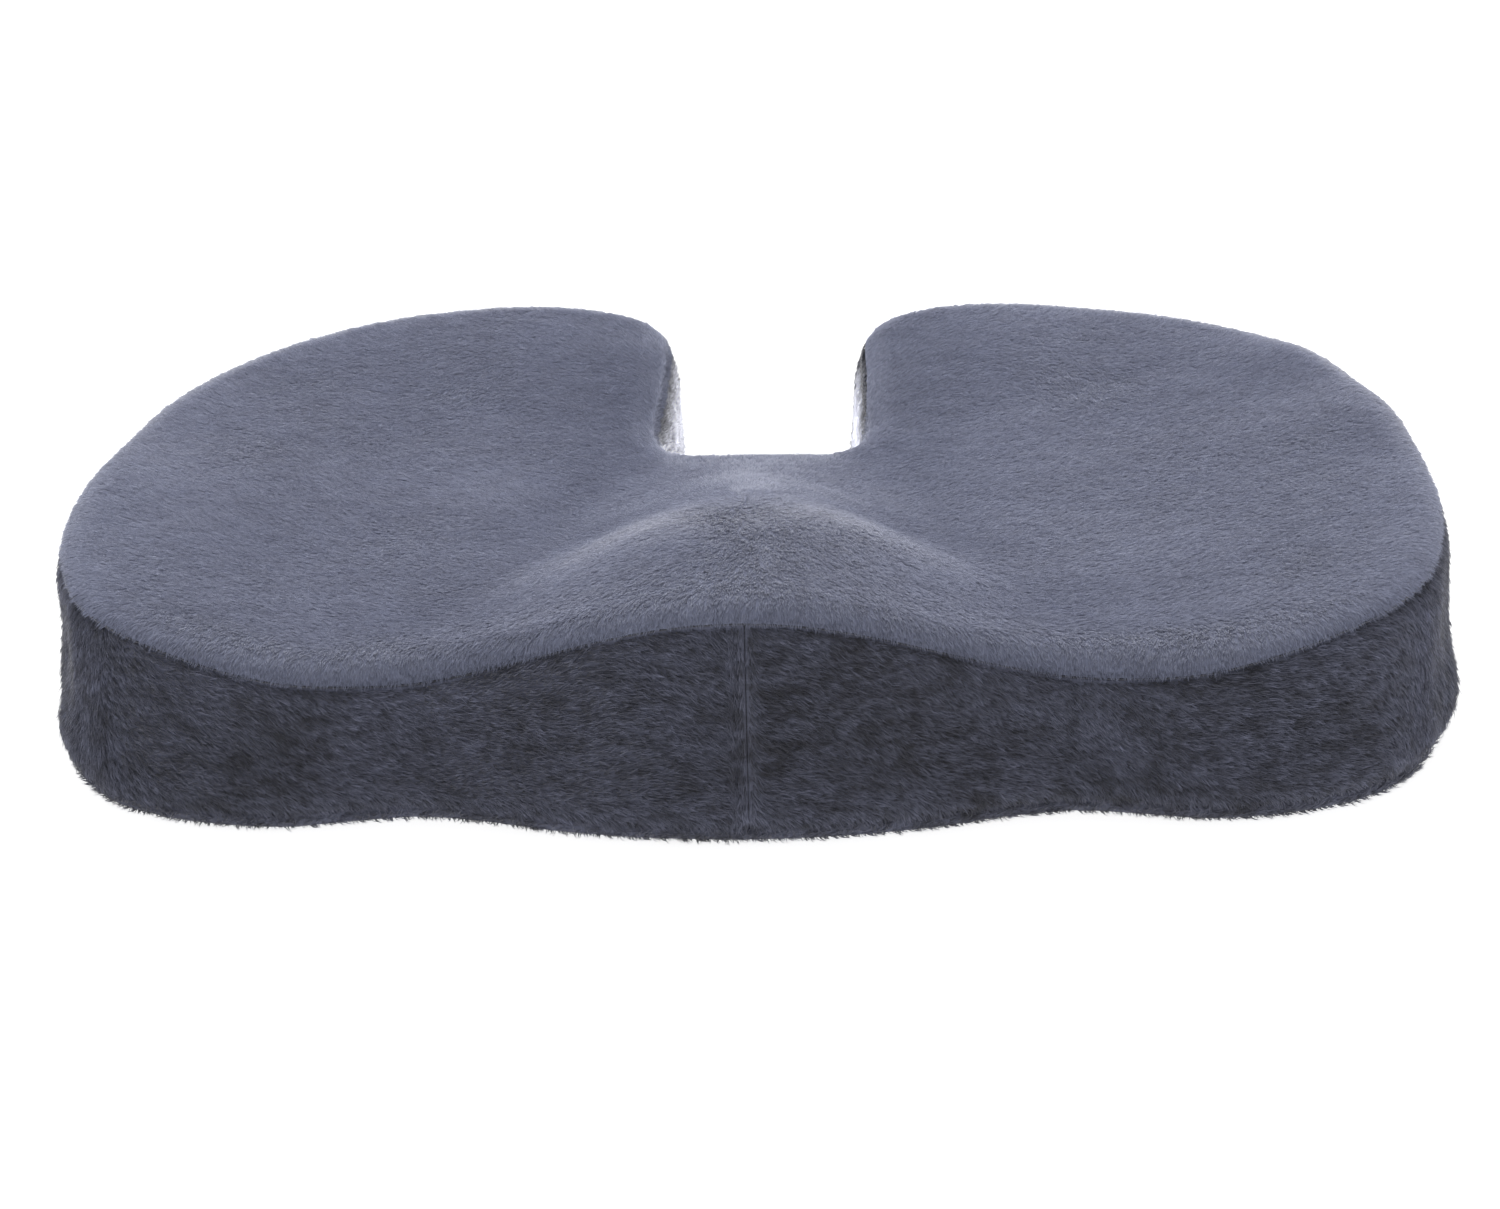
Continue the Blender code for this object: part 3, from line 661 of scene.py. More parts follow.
def top_grid():
    """Seat surface between the seams, on the CAD's heights but without its facets."""
    plan = plan_patch(TOP_SEAM, THREAD_RADIUS)
    rim = rim_of(plan.shape[:-1])
    nearest, inside = TOP_SEAM.nearest_in_plan(plan)
    distance = np.maximum(inside + THREAD_RADIUS, 0.0)
    distance[rim] = 0.0
    known = distance > EDGE_STEPS[-1]
    height = rays_down(face_tree("top_panel"), plan, 2 * CAD_BOX[1].z, 0.0)
    beside_seam = TOP_SEAM.points[nearest][..., 2] + EDGE_RADIUS + SEAM_GAP / 2
    height = np.where(known, height, beside_seam)
    height = relaxed(height, ~known & ~rim, FACET_SMOOTHING)
    height = relaxed(height, ~rim, TOP_SMOOTHING)
    height = height - rolled_off(distance, EDGE_ROLL, EDGE_RADIUS)
    points = np.concatenate([plan, height[..., None]], axis=-1)
    return points[:, ::-1]  # from the outer edge to the cut-out, so that the grid faces up


def wall_beyond_seam(fraction, z):
    """How far out from the top seam the CAD's side wall stands, where a level ray finds it."""
    start = TOP_SEAM.at(fraction, BAND_SEARCH)
    start[..., 2] = z
    inward = -TOP_SEAM.out(fraction)
    tree = face_tree("side_band_left", "side_band_right")
    beyond = np.full(z.shape, np.nan)
    for place in np.ndindex(z.shape):
        hit = tree.ray_cast(Vector(start[place]), Vector(inward[place]), 2 * BAND_SEARCH)
        if hit[0] is not None and hit[3] < 1.5 * BAND_SEARCH:
            beyond[place] = BAND_SEARCH - hit[3]
    return beyond


def band_grid():
    """Side wall from the bottom seam to the top seam, one column for each step round the cushion."""
    fraction = (np.arange(BAND_COLUMNS) / BAND_COLUMNS)[:, None]
    share = spaced(BAND_ROWS, BAND_HEIGHT)[0][None, :]
    low = BOTTOM_SEAM.at(fraction)[..., 2] + SEAM_GAP / 2
    high = TOP_SEAM.at(fraction)[..., 2] - SEAM_GAP / 2
    z = low + (high - low) * share
    fraction = np.broadcast_to(fraction, z.shape)
    beyond = wall_beyond_seam(fraction, z)
    missing = np.isnan(beyond)
    beyond[missing] = np.nanmean(beyond)
    beyond = relaxed(beyond, missing, 4 * FACET_SMOOTHING, ring=True)
    beyond = relaxed(beyond, np.ones_like(missing), BAND_SMOOTHING, ring=True)
    beyond -= rolled_off(z - low, ROLL_HEIGHT, ROLL_IN)
    points = TOP_SEAM.at(fraction) + TOP_SEAM.out(fraction) * beyond[..., None]
    points[..., 2] = z
    return points


def bottom_grid():
    """Underside, flat on the ground, with its rolled edge."""
    inset = ROLL_IN - THREAD_RADIUS
    plan = plan_patch(BOTTOM_SEAM, -inset)
    distance = np.maximum(BOTTOM_SEAM.nearest_in_plan(plan)[1] - inset, 0.0)
    distance[rim_of(distance.shape)] = 0.0
    height = rolled_off(distance, FOOT_RADIUS, FOOT_RADIUS)
    return np.concatenate([plan, height[..., None]], axis=-1)


# --- padding


def pinned_weights(points):
    """1 where the cover is sewn down or lies on the ground, 0 where it is free."""
    held = 1 - smoothstep((seam_distance(points) - PIN_REACH) / PIN_REACH)
    return np.where(points[:, 2] < 2 * FOOT_RADIUS, 1.0, held)


def swollen_padding():
    """Swells the foam's shape as cloth: (points at the start, how far each one moves out)."""
    pad = remeshed_node("padding", "foam_core", PAD_VOXEL)
    start = read_vectors(pad.data)
    normals = read_vectors(pad.data, "normal")
    held = pad.vertex_groups.new(name="held")
    for index, weight in enumerate(pinned_weights(start)):
        held.add([index], float(weight), "REPLACE")
    cloth = pad.modifiers.new("swelling", "CLOTH")
    cloth.settings.vertex_group_mass = "held"
    cloth.settings.use_pressure = True
    cloth.settings.uniform_pressure_force = PAD_PRESSURE
    cloth.settings.effector_weights.gravity = 0.0
    cloth.settings.quality = PAD_QUALITY
    cloth.collision_settings.use_collision = False
    scene = bpy.context.scene
    for step in range(1, PAD_FRAMES + 1):
        scene.frame_set(step)
    apply_modifiers(pad)
    scene.frame_set(1)
    out = np.sum((read_vectors(pad.data) - start) * normals, axis=1)
    bpy.data.objects.remove(pad)
    return start, np.clip(out, 0.0, PAD_CAP)


class Padding:
    """How far the cover stands in or out of its plain shape, anywhere on the cushion."""

    def __init__(self):
        self.tree = None
        points, swell = swollen_padding()
        self.relief = swell - np.median(swell[points[:, 2] > 2 * FOOT_RADIUS])
        self.tree = point_tree(points)

    def at(self, points):
        """The relief at each point, from the padding's nearest points."""
        if self.tree is None:
            return PAD_CAP * (smoothstep(seam_distance(points) / (3 * PIN_REACH)) - 1)
        reliefs = []
        for point in points.reshape(-1, 3):
            nearest = self.tree.find_n(point, PAD_NEIGHBOURS)
            weights = [1 / (1 * MM + distance) ** 2 for _, _, distance in nearest]
            total = sum(w * self.relief[index] for w, (_, index, _) in zip(weights, nearest))
            reliefs.append(total / sum(weights))
        return np.array(reliefs).reshape(points.shape[:-1])


PADDING = Padding()


def unevenness(points):
    """The cushion's own dents and swells at each point."""
    relief = np.zeros(points.shape[:-1])
    for place, reach, height in UNEVEN_MM:
        away = np.linalg.norm(points / MM - np.array(place), axis=-1) / reach
        relief += height * MM * np.exp(-(away**2))
    return relief


def padded(points, normals, flat_below=None):
    """The grid with its padding, clumps, drape and unevenness."""
    seam = seam_distance(points)
    relief = PUFF_SHARE * PADDING.at(points)
    relief += unevenness(points)
    relief += DRAPE_HEIGHT * noise_at(points, DRAPE_SIZE, 1) * smoothstep(seam / DRAPE_START)
    relief += CLUMP_HEIGHT * noise_at(points, CLUMP_SIZE, 2, 3) * smoothstep(seam / CLUMP_START)
    relief -= PINCH_DEPTH * np.exp(-((seam / PINCH_REACH) ** 2))
    if flat_below is not None:
        relief *= smoothstep(points[..., 2] / flat_below)
    return points + normals * relief[..., None]


# --- cloth panels


def folded_rings(rim, inward, towards):
    """Rings of points that turn in at the rim and run on as the seam allowance."""
    rings = []
    for turn in FOLD_TURNS:
        fold = inward * (1 - math.cos(turn)) + towards * math.sin(turn)
        rings.append(rim + FOLD_RADIUS * fold)
    rings.append(rings[-1] + inward * SEAM_ALLOWANCE)
    return rings


def panel_mesh(name, points, uv, inward, towards):
    """Quad mesh over a grid with folded edges, and the places on its nap kept as an attribute."""
    index = grid_index(points)
    loop = np.concatenate([index[:-1, 0], index[-1, :-1], index[:0:-1, -1], index[0, :0:-1]])
    flat, inward, towards = (grid.reshape(-1, 3) for grid in (points, inward, towards))
    rings = folded_rings(flat[loop], inward[loop], towards[loop])
    fold = np.arange(len(rings) * len(loop)).reshape(len(rings), len(loop)) + len(flat)
    fold = np.concatenate([loop[None], fold])
    fold = np.concatenate([fold, fold[:, :1]], axis=1)
    faces = np.concatenate([grid_quads(index), grid_quads(fold)])
    mesh = new_mesh(name, np.concatenate([flat, *rings]), faces.tolist())
    places = uv.reshape(-1, 2)
    places = np.concatenate([places, np.tile(places[loop], (len(rings), 1))])
    set_attribute(mesh, "nap", "POINT", np.pad(places, ((0, 0), (0, 1))))
    return mesh


def cloth_panel(sheet, skin, slot, node):
    """A panel of cloth with its thickness, mounted in the place of a CAD panel."""
    panel = thickened(new_object(sheet.name, sheet, skin), GROUND_CLOTH)
    return mount(panel, slot, node)


# --- pile


def tufts_of(root, fibres, rng):
    """(middle, number) of the tuft that each fibre is in: the nearest of a few roots."""
    chosen = rng.choice(len(root), len(root) // fibres, replace=False)
    tree = point_tree(root[chosen])
    number = np.array([tree.find(point)[1] for point in root])
    return root[chosen][number], number


def grow_pile(panel, points, normals, flow, nap, material, bare=None, painted_light=None):
    """Short leaning fibres all over a grid, as curves that belong to the panel."""
    rng = np.random.default_rng(SEED)
    corners = grid_quads(grid_index(points)).T
    a, b, c, d = points.reshape(-1, 3)[corners]
    area = np.linalg.norm(np.cross(c - a, d - b), axis=1) / 2
    count = int(nap.density * area.sum())
    cell = rng.choice(len(area), count, p=area / area.sum())
    s, t = rng.random((2, count, 1))
    shares = ((1 - s) * (1 - t), s * (1 - t), s * t, (1 - s) * t)

    def sampled(grid):
        values = grid.reshape(-1, 3)[corners[:, cell]]
        return sum(share * value for share, value in zip(shares, values))

    root, up, along = sampled(points), unit(sampled(normals)), sampled(flow)
    if bare is not None:
        kept = ~bare(root[:, 0], root[:, 1])
        root, up, along = root[kept], up[kept], along[kept]
        count = len(root)
    middle, tuft = tufts_of(root, max(2, round(nap.density * nap.tuft**2)), rng)
    tuft_turn, tuft_lift, tuft_length, tuft_tone = rng.uniform(-1, 1, (4, count))[:, tuft]
    turn = nap.spread * rng.normal(size=count) + nap.tuft_turn * tuft_turn
    lift = nap.lift + nap.spread * (LIFT_VARIETY * rng.normal(size=count) + tuft_lift)
    along = turned(laid_along(along, up), up, turn)
    variety = LENGTH_VARIETY * rng.normal(size=count) + TUFT_LENGTH_VARIETY * tuft_length
    length = nap.length * (1 + variety)
    rise = up * (length * np.sin(lift))[:, None]
    run = along * (length * np.cos(lift))[:, None]
    to_middle = nap.gather * (middle - root)
    fibres = []
    for step in np.linspace(0, 1, len(FIBRE_TAPER)):
        bent = rise * step * (RISE_EARLY - RISE_BEND * step) + run * step * (RUN_EARLY + RUN_BEND * step)
        fibres.append(root - up * ROOT_DEPTH + bent + to_middle * step**1.5)
    curves = bpy.data.hair_curves.new(panel.name + "_pile")
    curves.add_curves([len(FIBRE_TAPER)] * count)
    curves.position_data.foreach_set("vector", np.stack(fibres, axis=1).astype(np.float32).ravel())
    # Painted shade darkens the pile near the top seam; the tone attribute holds it together with each
    # tuft's random tone.
    painted_seam_shade = nap.painted_seam_shade * np.exp(-((TOP_SEAM.distance(root) / SHADE_REACH) ** 2))
    set_attribute(curves, "radius", "POINT", np.tile(nap.radius * FIBRE_TAPER, count))
    set_attribute(curves, "ground", "CURVE", up)
    set_attribute(curves, "tone", "CURVE", (1 + nap.tuft_tone * tuft_tone) * (1 - painted_seam_shade))
    set_attribute(curves, "painted_light", "CURVE", np.ones(count) if painted_light is None else painted_light(root))
    new_object(panel.name + "_pile", curves, material).parent = panel


# --- materials


class Recipe:
    """A node material under construction."""

    def __init__(self, name, **values):
        self.material = bpy.data.materials.new(name)
        self.material.use_nodes = True
        self.tree = self.material.node_tree
        self.shader = self.tree.nodes["Principled BSDF"]
        for name, value in values.items():
            self.shader.inputs[name.replace("_", " ")].default_value = value

    def add(self, kind, output, inputs=(), **settings):
        """An output of a new node, its settings and its named or numbered inputs set or joined."""
        node = self.tree.nodes.new("ShaderNode" + kind)
        for name, value in settings.items():
            setattr(node, name, value)
        for name, value in dict(inputs).items():
            if isinstance(value, bpy.types.NodeSocket):
                self.tree.links.new(value, node.inputs[name])
            else:
                node.inputs[name].default_value = value
        return node.outputs[output]

    def join(self, source, target):
        self.tree.links.new(source, self.shader.inputs[target])

    def object_place(self):
        return self.add("TexCoord", "Object")

    def attribute(self, name, output="Fac"):
        return self.add("Attribute", output, attribute_name=name)

    def stretched(self, vector, scale):
        return self.add("VectorMath", 0, {0: vector, 1: scale}, operation="MULTIPLY")

    def noise(self, vector, scale, detail=2.0, roughness=0.5):
        inputs = {"Vector": vector, "Scale": scale, "Detail": detail, "Roughness": roughness}
        return self.add("TexNoise", "Fac", inputs)

    def waves(self, vector, scale, direction="X", distortion=0.0):
        inputs = {"Vector": vector, "Scale": scale, "Distortion": distortion}
        return self.add("TexWave", "Fac", inputs, bands_direction=direction)

    def mapped(self, value, low, high, to_low=0.0, to_high=1.0):
        inputs = {"Value": value, 1: low, 2: high, 3: to_low, 4: to_high}
        return self.add("MapRange", "Result", inputs)

    def mixed(self, factor, first, second):
        """Colour between two colours or colour sockets."""
        return self.add("Mix", 2, {0: factor, 6: first, 7: second}, data_type="RGBA")

    def math(self, operation, first, second):
        return self.add("Math", 0, {0: first, 1: second}, operation=operation)

    def bump(self, height, strength, distance):
        inputs = {"Height": height, "Strength": strength, "Distance": distance}
        self.join(self.add("Bump", "Normal", inputs), "Normal")


def brushed(recipe, light, dark):
    """Colour of the cloth with painted light and shade in patches, where the nap is brushed this way and
    that and catches more or less light.
    """
    place = recipe.object_place()
    patches = recipe.noise(place, PATCHES_PER_METRE, 3.0, 0.6)
    flecks = recipe.noise(recipe.stretched(place, (1.0, 1.0, 1.6)), FLECKS_PER_METRE, 2.0, 0.6)
    patch = recipe.mapped(patches, 0.40, 0.67)
    fleck = recipe.mapped(flecks, 0.42, 0.64)
    share = recipe.math("MULTIPLY", recipe.math("ADD", patch, fleck), 0.5)
    return recipe.mixed(share, light, dark)


def plush_material(name, light, dark):
    """Woven ground of the plush with its nap pressed into strokes, and painted shade between them."""
    recipe = Recipe(
        name, Roughness=0.95, Sheen_Weight=0.1, Sheen_Roughness=0.5, Sheen_Tint=PLUSH_SHEEN
    )
    nap = recipe.stretched(recipe.attribute("nap", "Vector"), STROKES_PER_METRE)
    strokes = recipe.noise(nap, 1.0, 3.0, 0.65)
    shade = recipe.mapped(strokes, 0.3, 0.7, 0.55, 1.0)
    # painted shade in the gaps between the strokes
    between = (*(STROKE_PAINTED_SHADE * value for value in dark[:3]), 1.0)
    recipe.join(recipe.mixed(shade, between, brushed(recipe, light, dark)), "Base Color")
    recipe.bump(strokes, 0.7, 0.5 * MM)
    return recipe.material


def painted_sheen_colour(light, dark):
    """The painted sheen's colour: the pile's tips against the light."""
    level = (sum(light[:3]) + sum(dark[:3])) / 6
    return (*(level * PAINTED_SHEEN_TINT), 1.0)


def pile_material(name, light, dark, painted_root_shade, painted_sheen_fall, painted_sheen_gain, variety):
    """Fibres with painted shade at the root, and a painted sheen where the cloth turns away from the
    eye.
    """
    recipe = Recipe(
        name, Roughness=0.7, Sheen_Weight=0.25, Sheen_Roughness=0.5, Specular_IOR_Level=0.25
    )
    root = recipe.mapped(recipe.add("HairInfo", "Intercept"), 0.0, 0.75, painted_root_shade, 1.0)
    each = recipe.mapped(recipe.add("HairInfo", "Random"), 0.0, 1.0, 1 - variety, 1 + variety)
    vectors = {0: recipe.attribute("ground", "Vector"), 1: recipe.add("NewGeometry", "Incoming")}
    facing = recipe.add("VectorMath", "Value", vectors, operation="DOT_PRODUCT")
    turned_away = recipe.mapped(recipe.math("ABSOLUTE", facing, 0.0), 0.0, 1.0, 1.0, 0.0)
    painted_sheen = recipe.math("POWER", turned_away, painted_sheen_fall)
    lit = recipe.math("MULTIPLY", painted_sheen, recipe.attribute("painted_light"))
    gain = recipe.math("ADD", recipe.math("MULTIPLY", lit, painted_sheen_gain), 1.0)
    # tone holds the painted shade by the top seam and each tuft's random tone
    tone = recipe.math("MULTIPLY", recipe.math("MULTIPLY", root, each), recipe.attribute("tone"))
    share = recipe.math("MINIMUM", lit, 1.0)
    colour = recipe.mixed(share, brushed(recipe, light, dark), painted_sheen_colour(light, dark))
    recipe.join(recipe.stretched(colour, recipe.math("MULTIPLY", tone, gain)), "Base Color")
    return recipe.material


def foam_material():
    """Cream memory foam with fine open cells and slight yellowing."""
    recipe = Recipe("memory_foam", Roughness=0.9, Subsurface_Weight=0.15, Subsurface_Scale=2 * MM)
    place = recipe.object_place()
    cells = recipe.add("TexVoronoi", "Distance", {"Vector": place, "Scale": 900.0})
    stain = recipe.mapped(recipe.noise(place, 25.0, 4.0), 0.35, 0.7)
    recipe.join(recipe.mixed(stain, FOAM_CREAM, FOAM_YELLOWED), "Base Color")
    recipe.bump(cells, 0.5, 0.3 * MM)
    return recipe.material


def thread_material():
    """Polyester thread, its plies showing as slanted bands."""
    recipe = Recipe("sewing_thread", Roughness=0.6, Sheen_Weight=0.3)
    place = recipe.stretched(recipe.object_place(), (1.0, 1.0, 1.4))
    plies = recipe.waves(place, 420.0, distortion=1.5)
    recipe.join(recipe.mixed(plies, THREAD_DARK, THREAD_LIGHT), "Base Color")
    recipe.bump(plies, 0.6, 0.1 * MM)
    return recipe.material


def tape_material():
    """Close weave of the zip's tapes, paler where it is worn."""
    recipe = Recipe("zip_tape_weave", Roughness=0.85, Sheen_Weight=0.2)
    place = recipe.object_place()
    weave = recipe.math("MULTIPLY", recipe.waves(place, 520.0, "Y"), recipe.waves(place, 380.0, "X"))
    wear = recipe.mapped(recipe.noise(place, 90.0, 3.0), 0.3, 0.8, 0.0, 0.4)
    share = recipe.math("ADD", weave, wear)
    recipe.join(recipe.mixed(share, TAPE_DARK, TAPE_LIGHT), "Base Color")
    recipe.bump(weave, 0.7, 0.15 * MM)
    return recipe.material


def nylon_material():
    """Satin nylon of the coils, a little dusty."""
    recipe = Recipe("coil_nylon", Roughness=0.38)
    place = recipe.object_place()
    dust = recipe.mapped(recipe.noise(place, 160.0, 4.0), 0.4, 0.75)
    recipe.join(recipe.mixed(dust, NYLON, NYLON_DUST), "Base Color")
    recipe.join(recipe.mapped(dust, 0.0, 1.0, 0.3, 0.55), "Roughness")
    recipe.bump(recipe.noise(place, 2200.0, 2.0), 0.15, 0.05 * MM)
    return recipe.material


def metal_material():
    """Nickel plating with a fine grain, duller where fingers and the coils rub it."""
    recipe = Recipe("nickel_plate", Metallic=1.0, Roughness=0.3)
    place = recipe.object_place()
    grain = recipe.noise(recipe.stretched(place, (300.0, 5200.0, 5200.0)), 1.0, 3.0, 0.6)
    rubbed = recipe.mapped(recipe.noise(place, 260.0, 4.0), 0.4, 0.7)
    edges = recipe.mapped(recipe.add("NewGeometry", "Pointiness"), 0.5, 0.58)
    tone = recipe.mixed(rubbed, NICKEL, NICKEL_RUBBED)
    recipe.join(recipe.mixed(edges, tone, NICKEL_EDGE), "Base Color")
    recipe.join(recipe.mapped(recipe.math("ADD", grain, rubbed), 0.4, 1.6, 0.22, 0.5), "Roughness")
    recipe.bump(grain, 0.2, 0.04 * MM)
    return recipe.material


def finish_metal_nodes():
    """The CAD's own metal pieces stay and take the plating."""
    plating = metal_material()
    for name in METAL_NODES:
        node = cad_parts[name]
        node.data.materials.clear()
        node.data.materials.append(plating)


# --- the cover


def patch_uv(points):
    """Positions along and across the nap on the top or underside: front to back, and sideways."""
    return np.stack([points[..., 1] - points[..., 2], points[..., 0]], axis=-1)


def plan_inward(seam, points):
    """Level direction from each point into the cushion, square to the seam beside it."""
    return -seam.outward[seam.nearest_in_plan(points)[0]]


def behind_crest(points):
    """1 where the pommel falls away to the rear, whose pile is brushed that way, 0 elsewhere."""
    share = smoothstep((points[..., 1] - CREST_Y) / CREST_TURN)
    return share * np.exp(-((points[..., 0] / CREST_HALF_WIDTH) ** 4))


def top_painted_light(roots):
    """Painted light on the pommel's crest, and painted shade behind it and on its flanks."""
    x, y = roots[:, 0], roots[:, 1]
    crest = np.exp(-((x / CREST_REACH) ** 2 + ((y - CREST_Y) / CREST_DEPTH) ** 2))
    painted_light = 1 + BEHIND_CREST_PAINTED_LIGHT * behind_crest(roots) + CREST_PAINTED_LIGHT * crest
    for flank_x, flank_y, reach, shade in FLANK_PAINTED_SHADE_MM:
        away = np.hypot(np.abs(x) / MM - flank_x, y / MM - flank_y) / reach
        painted_light -= shade * np.exp(-(away**2))
    return painted_light


def top_normals(points):
    """Normals of the seat surface, from the shape of its rolled edge near the seam."""
    nearest, inside = TOP_SEAM.nearest_in_plan(points)
    distance = np.maximum(inside + THREAD_RADIUS, 0.02 * MM)
    share = np.clip(1 - distance / EDGE_ROLL, 0.0, 0.999)
    slope = EDGE_RADIUS / EDGE_ROLL * share / np.sqrt(1 - share**2)
    rolled = unit(TOP_SEAM.outward[nearest] * slope[..., None] + UP)
    return unit(blend(smoothstep(2 - 2 * distance / EDGE_ROLL), grid_normals(points), rolled))


def top_flow(points, normals, inward):
    """The nap is brushed aside and forward, to the rear behind the crest, and down the steep edges."""
    x = points[..., 0]
    swirl = TOP_SWIRL * noise_at(points, SWIRL_SIZE, 3)
    rearward = behind_crest(points)
    side = np.where(x + CREST_PARTING * swirl < 0, -1.0, 1.0)
    aside = NAP_ASIDE * np.tanh(x / NAP_PARTING) + NAP_TURNING * rearward * (1 - rearward) * side
    away = np.stack([aside, NAP_REARWARD * rearward - NAP_FORWARD, np.zeros_like(x)], axis=-1)
    middle = turned(laid_along(away, normals), normals, swirl)
    leaving = smoothstep(0.5 - np.sum(middle * inward, axis=-1))
    combed = smoothstep(1.2 - seam_distance(points) / COMBED_EDGE) * leaving
    steep = smoothstep((STEEP_FROM - normals[..., 2]) / STEEP_RANGE)
    return laid_along(blend(np.maximum(combed, steep), middle, -UP - inward), normals)


def build_top():
    plain = top_grid()
    points = padded(plain, top_normals(plain))
    normals = top_normals(points)
    inward = plan_inward(TOP_SEAM, points)
    downward = np.broadcast_to(-UP, points.shape)
    sheet = panel_mesh("cover_top", points, patch_uv(plain), inward, downward)
    skin = plush_material("top_plush", TOP_LIGHT, TOP_DARK)
    panel = cloth_panel(sheet, skin, "top_plush", "top_panel")
    flow = top_flow(points, normals, inward)
    pile = pile_material("top_pile", TOP_LIGHT, TOP_DARK, **TOP_SHADING)
    grow_pile(panel, points, normals, flow, TOP_NAP, pile, painted_light=top_painted_light)


def cut_out_painted_light(roots):
    """Painted light on the walls of the cut-out, in place of the light from behind that rakes them."""
    inside = (np.abs(roots[:, 0]) < CUT_OUT_HALF_WIDTH) & (roots[:, 1] > 0)
    before_corner = smoothstep((LOBE_CORNER_INNER[1] - roots[:, 1]) / CORNER_FADE)
    return 1 + (CUT_OUT_PAINTED_LIGHT - 1) * inside * before_corner


def band_flow(points, normals, along, up):
    """The nap runs round the band, and hangs down at its ends, beside the upright seams and low down."""
    swirl = BAND_SWIRL * noise_at(points, SWIRL_SIZE, 4)
    level = turned(laid_along(along - BAND_SAG * up, normals), normals, swirl)
    x = np.abs(points[..., 0])
    corner = smoothstep((x - HANGING_FROM) / HANGING_REACH)
    upright_seam = smoothstep(1.3 - x / BESIDE_UPRIGHT)
    foot = smoothstep(1.2 - points[..., 2] / FOOT_FRINGE)
    hanging = np.maximum(np.maximum(corner, upright_seam), foot)
    return laid_along(blend(hanging, level, -BAND_HANG * up), normals)


def build_bands():
    plain = band_grid()
    points = padded(plain, grid_normals(plain, ring=True))
    normals = grid_normals(points, ring=True)
    along, up = unit(steps_along(points, closed=True)), unit(np.gradient(points, axis=1))
    flow = band_flow(points, normals, along, up)
    fraction = (np.arange(BAND_COLUMNS) / BAND_COLUMNS)[:, None]
    uv = np.stack(np.broadcast_arrays(fraction * TOP_SEAM.length, plain[..., 2]), axis=-1)
    inward = -TOP_SEAM.out(np.broadcast_to(fraction, plain.shape[:-1]))
    skin = plush_material("band_plush", BAND_LIGHT, BAND_DARK)
    pile = pile_material("band_pile", BAND_LIGHT, BAND_DARK, **BAND_SHADING)
    front, back = UPRIGHT_SEAM_COLUMN, BAND_COLUMNS // 2
    for side, first, last in (("right", front, back), ("left", back, BAND_COLUMNS + front)):
        taken = np.arange(first, last + 1) % BAND_COLUMNS
        half, steps = points[taken], along[taken]
        towards = np.zeros_like(half)
        for end, way in ((0, 1), (-1, -1)):
            half[end] += steps[end] * way * SEAM_GAP / 2
            towards[end] -= steps[end] * way
        towards[:, -1, 2] = 1.0
        towards[:, 0, 2] = -1.0
        name = f"cover_band_{side}"
        sheet = panel_mesh(name, half, uv[taken], inward[taken], unit(towards))
        panel = cloth_panel(sheet, skin, "band_plush", f"side_band_{side}")
        grow_pile(panel, half, normals[taken], flow[taken], BAND_NAP, pile, painted_light=cut_out_painted_light)


def in_recess(x, y):
    return (np.abs(x) < RECESS_HALF_LENGTH) & (np.abs(y - ZIP_Y) < RECESS_HALF_WIDTH)


def cut_for_zip(sheet, side):
    """Leaves the half of the underside on one side of the zip, without the zip's recess."""
    bm = bmesh.new()
    bm.from_mesh(sheet)
    half = (0, ZIP_Y + side * SEAM_GAP / 2, 0), (0, -side, 0), True
    along = (0, ZIP_Y + side * RECESS_HALF_WIDTH, 0), (0, 1, 0), False
    left = (-RECESS_HALF_LENGTH, 0, 0), (1, 0, 0), False
    right = (RECESS_HALF_LENGTH, 0, 0), (1, 0, 0), False
    for place, normal, clear in (half, along, left, right):
        everything = bm.verts[:] + bm.edges[:] + bm.faces[:]
        bmesh.ops.bisect_plane(
            bm, geom=everything, plane_co=place, plane_no=normal, clear_outer=clear
        )
    middles = [(face, face.calc_center_median()) for face in bm.faces]
    opening = [face for face, middle in middles if in_recess(middle.x, middle.y)]
    bmesh.ops.delete(bm, geom=opening, context="FACES")
    bm.to_mesh(sheet)
    bm.free()


def build_underside():
    """Both halves of the underside. The pile of the whole belongs to the rear one."""
    plain = bottom_grid()
    points = padded(plain, grid_normals(plain), flat_below=FOOT_RADIUS)
    normals = grid_normals(points)
    skin = plush_material("foot_plush", BAND_LIGHT, BAND_DARK)
    inward = plan_inward(BOTTOM_SEAM, points)
    upward = np.broadcast_to(UP, points.shape)
    for end, side in (("front", -1), ("rear", 1)):
        name = f"cover_underside_{end}"
        sheet = panel_mesh(name, points, patch_uv(plain), inward, upward)
        cut_for_zip(sheet, side)
        panel = cloth_panel(sheet, skin, "foot_plush", f"bottom_panel_{end}")
    flow = laid_along(FOOT_SLANT - inward, normals)
    pile = pile_material("foot_pile", BAND_LIGHT, BAND_DARK, **BAND_SHADING)
    grow_pile(panel, points, normals, flow, FOOT_NAP, pile, bare=in_recess)


# --- swept pieces: threads, coils, welt


